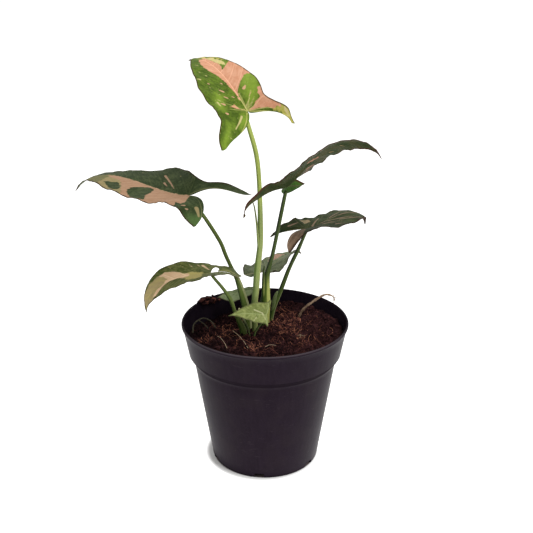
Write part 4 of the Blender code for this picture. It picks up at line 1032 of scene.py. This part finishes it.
raise_stem("middle_stalk", "middle_stem",
           [(28.6, 6.2, 171.6, 1.0, 1.0), (23.3, 7.0, 158.6, 1.4, 1.3), (21.6, 7.4, 154.5, 1.4, 1.3),
            (17.1, 8.4, 143.6, 1.4, 1.3), (11.6, 10.0, 127.2, 1.6, 1.4), (6.8, 12.0, 113.1, 1.6, 1.4),
            (4.4, 13.0, 102.8, 1.7, 1.5), (3.4, 13.4, 88.0, 1.6, 1.5)],
           dict(light=(0.06, 0.09, 0.02), shade=(0.012, 0.025, 0.005), low_light=(0.09, 0.14, 0.03),
                low_shade=(0.02, 0.045, 0.01), fade=(40, 60), pale=(0.3, 0.33, 0.16), edge=(0.85, (45, 55)),
                tip=(0.22, 0.28, 0.12), ridges=((5, 14, 0.15, 5, 80),), tip_end=0.2),
           [(9.1, 5.6, 127.1, 0.4, 0.35), (8.1, 6.6, 124.8, 1.1, 0.45), (6.8, 8.6, 119.4, 1.4, 0.5),
            (5.9, 10.8, 113.0, 1.2, 0.6), (4.8, 12.6, 106.0, 0.8, 0.6)])


# The low leaf: bowed down to the left over the rim, green with a long cream and pink band along its midrib and a
# notch of light between its lobes. Its stem is thin and olive.
grow_blade("low_blade", "low_leaf", dict(
    at=(-37.3, -14.0, 149.5), length=60, heading=180, turn=14, pitch=(-9, -23, -98), roll=(-7.5, 32),
    veins=7, keel=0.5,
    left=dict(width=19, fold=(6, 3, 10), lobe=(21, 18), pitch=31, bend=5, sweep=-6, bulge=1.0,
              edge=(1.12, 0.95, 0.98, 1.05), waist=0.97, point=0.5, wave=(0.5, 4, 1.0)),
    right=dict(width=19, fold=(4, 2, 11), lobe=(21.5, 18), pitch=49, bend=-11, sweep=-14, bulge=1.35,
               edge=(1.0, 1.0, 1.0, 0.97), waist=0.88, point=0.45, wave=(0.5, 4, 0.0),
               eye=((0.26, 0.08), (0.25, 0.4), (0.13, 0.66), (0.03, 0.45))),
    dark=(0.05, 0.07, 0.014), green=(0.15, 0.16, 0.05), light_green=0.05, vein=(0.2, 0.2, 0.09),
    lime=(0.44, 0.37, 0.13), cream=(0.33, 0.26, 0.13), pink=(0.6, 0.4, 0.24), rose=(0.68, 0.48, 0.31), show=0.7,
    rib=(0.34, 0.3, 0.13), back=(0.15, 0.14, 0.06), margin=(0.05, 0.03, 0.012), sprinkle=0.35,
    patches=dict(
        pink=[[(35, 8), (31, 9), (24, 7), (18, 3), (15, 2), (15, -3), (19, -4), (23, -1), (30, -2), (37, -6),
               (46, -7), (44, -4), (36, -2), (30, 2), (32, 5)]],
        cream=[[(59, -1), (50, 4), (41, 7), (31, 9), (24, 7), (15, 2), (15, -2), (23, -1), (30, -2), (37, -6),
                (46, -7)]],
        lime=[[(16, 3), (13, 4), (6, 2), (5, -8), (6, -12), (15, -12), (19, -5)]],
        pink_lines=[(6, 13.5, 1.5, 6, 1.8)], pink_flecks=[(9, 14, 3, 1.0), (14, 13, 4, 0.6)],
        cream_flecks=[(20, 13, 5, 0.7), (28, 14, 5, 0.7)])))
raise_stem("low_stalk", "low_stem",
           [(-36.2, -14.0, 146.8, 0.9, 0.9), (-34.4, -13.8, 144.4, 1.1, 1.1), (-28.4, -13.0, 136.2, 1.2, 1.1),
            (-23.7, -12.0, 127.6, 1.4, 1.2), (-21.2, -10.5, 118.6, 1.3, 1.2), (-18.2, -9.0, 110.5, 2.1, 1.3),
            (-15.4, -8.0, 101.8, 2.6, 1.5), (-14.4, -7.6, 88.0, 2.2, 1.5)],
           dict(light=(0.1, 0.14, 0.03), shade=(0.03, 0.05, 0.01), low_light=(0.1, 0.14, 0.035),
                low_shade=(0.025, 0.05, 0.01), fade=(28, 40), pale=(0.24, 0.28, 0.12), edge=(0.88, (20, 34)),
                ridges=((300, 14, 0.2, 22, 60),)))


# The back leaf: small and grey-green, half hidden behind the stems, with a pale midrib.
grow_blade("back_blade", "back_leaf", dict(
    at=(1.9, 34.0, 133.0), length=47, heading=55, turn=-1.5, pitch=(11, 3, -32), roll=(3, 15), veins=6, keel=0.4,
    left=dict(width=13, fold=(11, -10, 12), lobe=(22.5, 13), pitch=5, bend=53, sweep=12, bulge=0.65,
              edge=(1.0, 1.0, 0.95, 1.0), waist=1.1, point=-1.0, wave=(0.6, 4, 0.0)),
    right=dict(width=14, fold=(11, 14, 12), lobe=(20, 14), pitch=-13, bend=20, sweep=13, bulge=0.5,
               edge=(1.0, 1.0, 1.0, 1.08), waist=1.0, point=0.45, wave=(0.6, 4, 1.0)),
    dark=(0.065, 0.082, 0.04), green=(0.17, 0.2, 0.115), light_green=0.08, vein=(0.26, 0.28, 0.17),
    lime=(0.16, 0.17, 0.07), cream=(0.3, 0.26, 0.15), pink=(0.32, 0.2, 0.14), rose=(0.38, 0.24, 0.17),
    rib=(0.26, 0.24, 0.14), back=(0.1, 0.1, 0.06), margin=(0.04, 0.022, 0.012), sprinkle=0.25,
    patches=dict(
        pink=[[(24, -10), (26, -3), (18, -2), (12, -4), (14, -9)]],
        pink_flecks=[(10, -6, 4, 1.0), (28, 5, 4, 0.8)],
        cream_flecks=[(4, -8, 4, 0.8), (20, 6, 5, 0.8)])))
raise_stem("back_stalk", "back_stem",
           [(1.6, 33.6, 130.0, 0.8, 0.8), (1.0, 31.0, 125.6, 1.1, 1.1), (-0.8, 26.0, 118.0, 1.2, 1.2),
            (-3.4, 20.4, 109.0, 1.3, 1.3), (-4.6, 18.0, 98.0, 1.3, 1.3), (-4.6, 17.6, 86.0, 1.3, 1.3)],
           dict(light=(0.09, 0.12, 0.04), shade=(0.02, 0.035, 0.01), low_light=(0.09, 0.12, 0.04),
                low_shade=(0.02, 0.035, 0.01), fade=(10, 30), pale=(0.2, 0.24, 0.1), edge=(0.9, (20, 30))))


# The inner leaf: a small pale green blade low inside the rim at the back left.
grow_blade("inner_blade", "inner_leaf", dict(
    at=(-10.5, 36.0, 115.5), length=26.5, heading=186, turn=3, pitch=(-9, -10, -11), roll=(16, 6),
    veins=5, keel=0.3,
    left=dict(width=11.5, fold=(8, 2, 4), lobe=(3, 3.5), pitch=0, bend=0, sweep=0, bulge=0.5,
              edge=(2.2, 1.35, 1.0, 0.6), waist=1.0, point=0.2, wave=(0.3, 3, 0.0)),
    right=dict(width=4.2, fold=(8, 2, 4), lobe=(3, 2.8), pitch=0, bend=0, sweep=0, bulge=0.5,
               edge=(2.1, 1.15, 0.95, 0.9), waist=1.0, point=0.2, wave=(0.3, 3, 1.0)),
    dark=(0.1, 0.14, 0.055), green=(0.2, 0.25, 0.12), light_green=0.1, vein=(0.24, 0.28, 0.14), show=0.4,
    lime=(0.2, 0.24, 0.12), cream=(0.3, 0.32, 0.18), pink=(0.3, 0.2, 0.15), rose=(0.35, 0.24, 0.18),
    rib=(0.27, 0.3, 0.17), back=(0.14, 0.17, 0.09), margin=(0.1, 0.1, 0.05), sprinkle=0.0, patches=dict()))
raise_stem("inner_stalk", "inner_stem",
           [(-9.9, 35.7, 113.9, 0.7, 0.7), (-9.5, 34.2, 110.2, 0.9, 0.9), (-10.4, 29.8, 103.2, 1.0, 1.0),
            (-11.2, 25.0, 96.0, 1.0, 1.0), (-11.4, 23.0, 84.0, 1.0, 1.0)],
           dict(light=(0.12, 0.15, 0.05), shade=(0.03, 0.045, 0.015), low_light=(0.1, 0.13, 0.05),
                low_shade=(0.03, 0.04, 0.015), fade=(5, 20), pale=(0.2, 0.24, 0.1), edge=(0.9, (10, 20))))


# The young leaf: the newest, small and light green in front of the stems, with one cream streak.
grow_blade("young_blade", "young_leaf", dict(
    at=(1.0, -17.0, 118.8), length=27, heading=183, turn=4, pitch=(10, 2, -12), roll=(38, 20), veins=5, keel=0.3,
    left=dict(width=6.5, fold=(-14, -4, -2), lobe=(2, 7.5), pitch=0, bend=0, sweep=0, bulge=0.4,
              edge=(0.8, 0.9, 1.0, 1.0), waist=1.0, point=0.4, wave=(0.3, 3, 0.0)),
    right=dict(width=9.5, fold=(10, 2, 0), lobe=(2.5, 11), pitch=0, bend=0, sweep=0, bulge=0.4,
               edge=(0.8, 0.86, 0.94, 1.0), waist=1.0, point=0.6, wave=(0.3, 3, 2.0)),
    dark=(0.13, 0.16, 0.042), green=(0.27, 0.305, 0.105), vein=(0.33, 0.37, 0.15), show=0.35,
    lime=(0.3, 0.34, 0.14), cream=(0.5, 0.5, 0.28), pink=(0.4, 0.3, 0.2), rose=(0.45, 0.34, 0.22),
    rib=(0.3, 0.35, 0.14), back=(0.16, 0.2, 0.09), margin=(0.12, 0.13, 0.05), sprinkle=0.1,
    patches=dict(cream_lines=[(8.5, 3, 3, 1, 1.0), (3, 1, 0, -3.5, 0.9)], cream_flecks=[(8, -4, 4, 0.7)])))
raise_stem("young_stalk", "young_stem",
           [(0.6, -15.6, 116.4, 0.6, 0.6), (-1.2, -14.4, 112.6, 0.8, 0.8), (-4.8, -13.4, 107.6, 0.8, 0.8),
            (-7.6, -13.2, 101.0, 0.8, 0.8), (-8.2, -13.2, 88.0, 0.8, 0.8)],
           dict(light=(0.16, 0.21, 0.07), shade=(0.05, 0.08, 0.02), low_light=(0.1, 0.14, 0.04),
                low_shade=(0.03, 0.05, 0.015), fade=(8, 18), pale=(0.24, 0.28, 0.12), edge=(0.9, (5, 12))))


# The bud: a small pale bud, still closed, on a thin shoot at the left of the stems.
raise_stem("bud", "bud_shoot",
           [(-18.2, -8.0, 119.4, 0.6, 0.6), (-17.4, -8.0, 116.4, 1.0, 0.9), (-15.2, -9.4, 112.1, 0.8, 0.8),
            (-12.6, -11.0, 107.6, 0.6, 0.6), (-11.0, -12.0, 101.6, 0.6, 0.6), (-11.0, -12.0, 88.0, 0.6, 0.6)],
           dict(light=(0.42, 0.42, 0.24), shade=(0.2, 0.2, 0.09), low_light=(0.1, 0.13, 0.05),
                low_shade=(0.03, 0.045, 0.015), fade=(3, 12), light_side=(0.7, 0.7), pale=(0.3, 0.32, 0.16),
                edge=(0.95, (2, 3))))


# The dry stalk: what is left of an old stem, pale brown and wrinkled, arching out of the soil at the right and
# frayed at its end.
STALK = [(51.9, 26.0, 111.0, 0.3, 0.3), (50.6, 26.0, 114.4, 0.55, 0.5), (46.2, 25.0, 116.5, 0.7, 0.6),
         (42.0, 24.0, 115.6, 0.8, 0.7), (36.2, 23.0, 112.0, 0.9, 0.8), (30.4, 22.0, 107.8, 0.9, 0.8),
         (26.4, 22.0, 102.4, 0.9, 0.8), (24.6, 22.0, 96.0, 0.9, 0.8), (24.2, 22.0, 88.0, 0.8, 0.8)]
STALK_RIDGES = ((40, 20, 0.12, 0, 60), (170, 22, 0.1, 0, 60), (280, 18, 0.14, 0, 60))
FRAYS = ([(50.9, 26.0, 114.0, 0.25, 0.25), (53.0, 25.6, 113.6, 0.2, 0.2), (54.2, 25.2, 111.8, 0.12, 0.12)],
         [(50.2, 26.0, 114.4, 0.25, 0.25), (52.2, 26.6, 116.0, 0.18, 0.18), (54.0, 26.4, 115.2, 0.1, 0.1)],
         [(51.2, 26.0, 113.0, 0.25, 0.25), (50.8, 24.8, 110.4, 0.18, 0.18), (51.6, 24.2, 108.8, 0.1, 0.1)])


def paint_straw(w):
    around = w.own("around", 1)
    lines = (around * (1.6, 1.6, 0.12)).grain(1.5, 4, 0.65)
    joint = (around * (0.2, 0.2, 0.5)).grain(1.0, 2).rise(0.5, 0.65)
    base = (lines + around.part("Z") * -0.004).rise(0.3, 0.7).tint((0.15, 0.09, 0.055), (0.55, 0.4, 0.27))
    base = (joint * 0.5).tint(base, (0.16, 0.09, 0.05))
    return {"Base Color": base, "Roughness": 0.6 + lines * 0.25, "Normal": w.bump(lines * 0.0002, 0.8)}


path = smooth_path(STALK, 60)
for i in range(len(path)):
    path[i, 3:] *= 1.0 + 0.16 * math.sin(i * 0.9) + 0.1 * math.sin(i * 2.3)
points, faces, around = bundle([tube(path, 14, STALK_RIDGES)] + [tube(smooth_path(fray, 10), 6) for fray in FRAYS])
straw = finish("dry_straw", {"Specular IOR Level": 0.35}, paint_straw)
stalk = build("dry_stalk_straw", points, faces, straw, {"around": around})
outward(stalk)
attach(stalk, "root")
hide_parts("dry_stalk")


# Rootlets: a few pale threads that lie on the soil, and a thicker dull one that arches at the left. Each has its
# shade, its thickness and the points that it runs through.
ROOTLETS = dict(
    left_arch=(0.06, 0.55, [(-51.5, -9, 101), (-51, -1, 104.5), (-45.5, 6, 105.8), (-39.5, 3, 105.2),
                            (-35.5, -3, 102.5)]),
    left_arch_fork=(0.02, 0.4, [(-48, 3, 105.4), (-44, 1, 103.6), (-41, -3, 102)]),
    side_thread=(0.7, 0.17, [(-33.5, -17, 102.5), (-31, -21, 103), (-28, -28, 102.6), (-26, -35, 102)]),
    front_thread=(0.75, 0.17, [(-23, -8, 102.5), (-19, -16, 103), (-15, -25, 102.8), (-11.5, -35, 102)]),
    short_thread=(0.6, 0.17, [(0, -34, 102.5), (3.5, -32, 103.2), (7.6, -32, 102.6)]),
    star_a=(0.45, 0.18, [(22.5, -18, 103), (25, -18.5, 104.2), (28, -19.5, 103.6)]),
    star_b=(0.45, 0.18, [(24.6, -15.0, 103.2), (25, -18.5, 104.1), (24.4, -22, 103.4)]))
THREAD_LIFT = 1.1


def paint_thread(w):
    lines = (w.own("around", 1) * (1.0, 1.0, 0.3)).grain(1.5, 3)
    pale = (w.own("shade") + (lines - 0.5) * 0.6).rise(0.0, 1.0)
    return {"Base Color": pale.tint((0.03, 0.026, 0.013), (0.5, 0.38, 0.26)), "Roughness": 0.7 + lines * 0.1,
            "Normal": w.bump(lines * 0.0001, 0.5)}


threads, shades = [], []
for shade, thick, line in ROOTLETS.values():
    lying = [(x, y, max(z, lie_of(x, y) + THREAD_LIFT), thick, thick) for x, y, z in line]
    threads.append(tube(smooth_path(lying, 24), 6))
    shades += [shade] * len(threads[-1][0])
points, faces, around = bundle(threads)
thread_finish = finish("root_thread", {"Specular IOR Level": 0.3}, paint_thread)
rootlets = build("rootlets", points, faces, thread_finish, {"around": around, "shade": shades})
outward(rootlets)
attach(rootlets, "root")
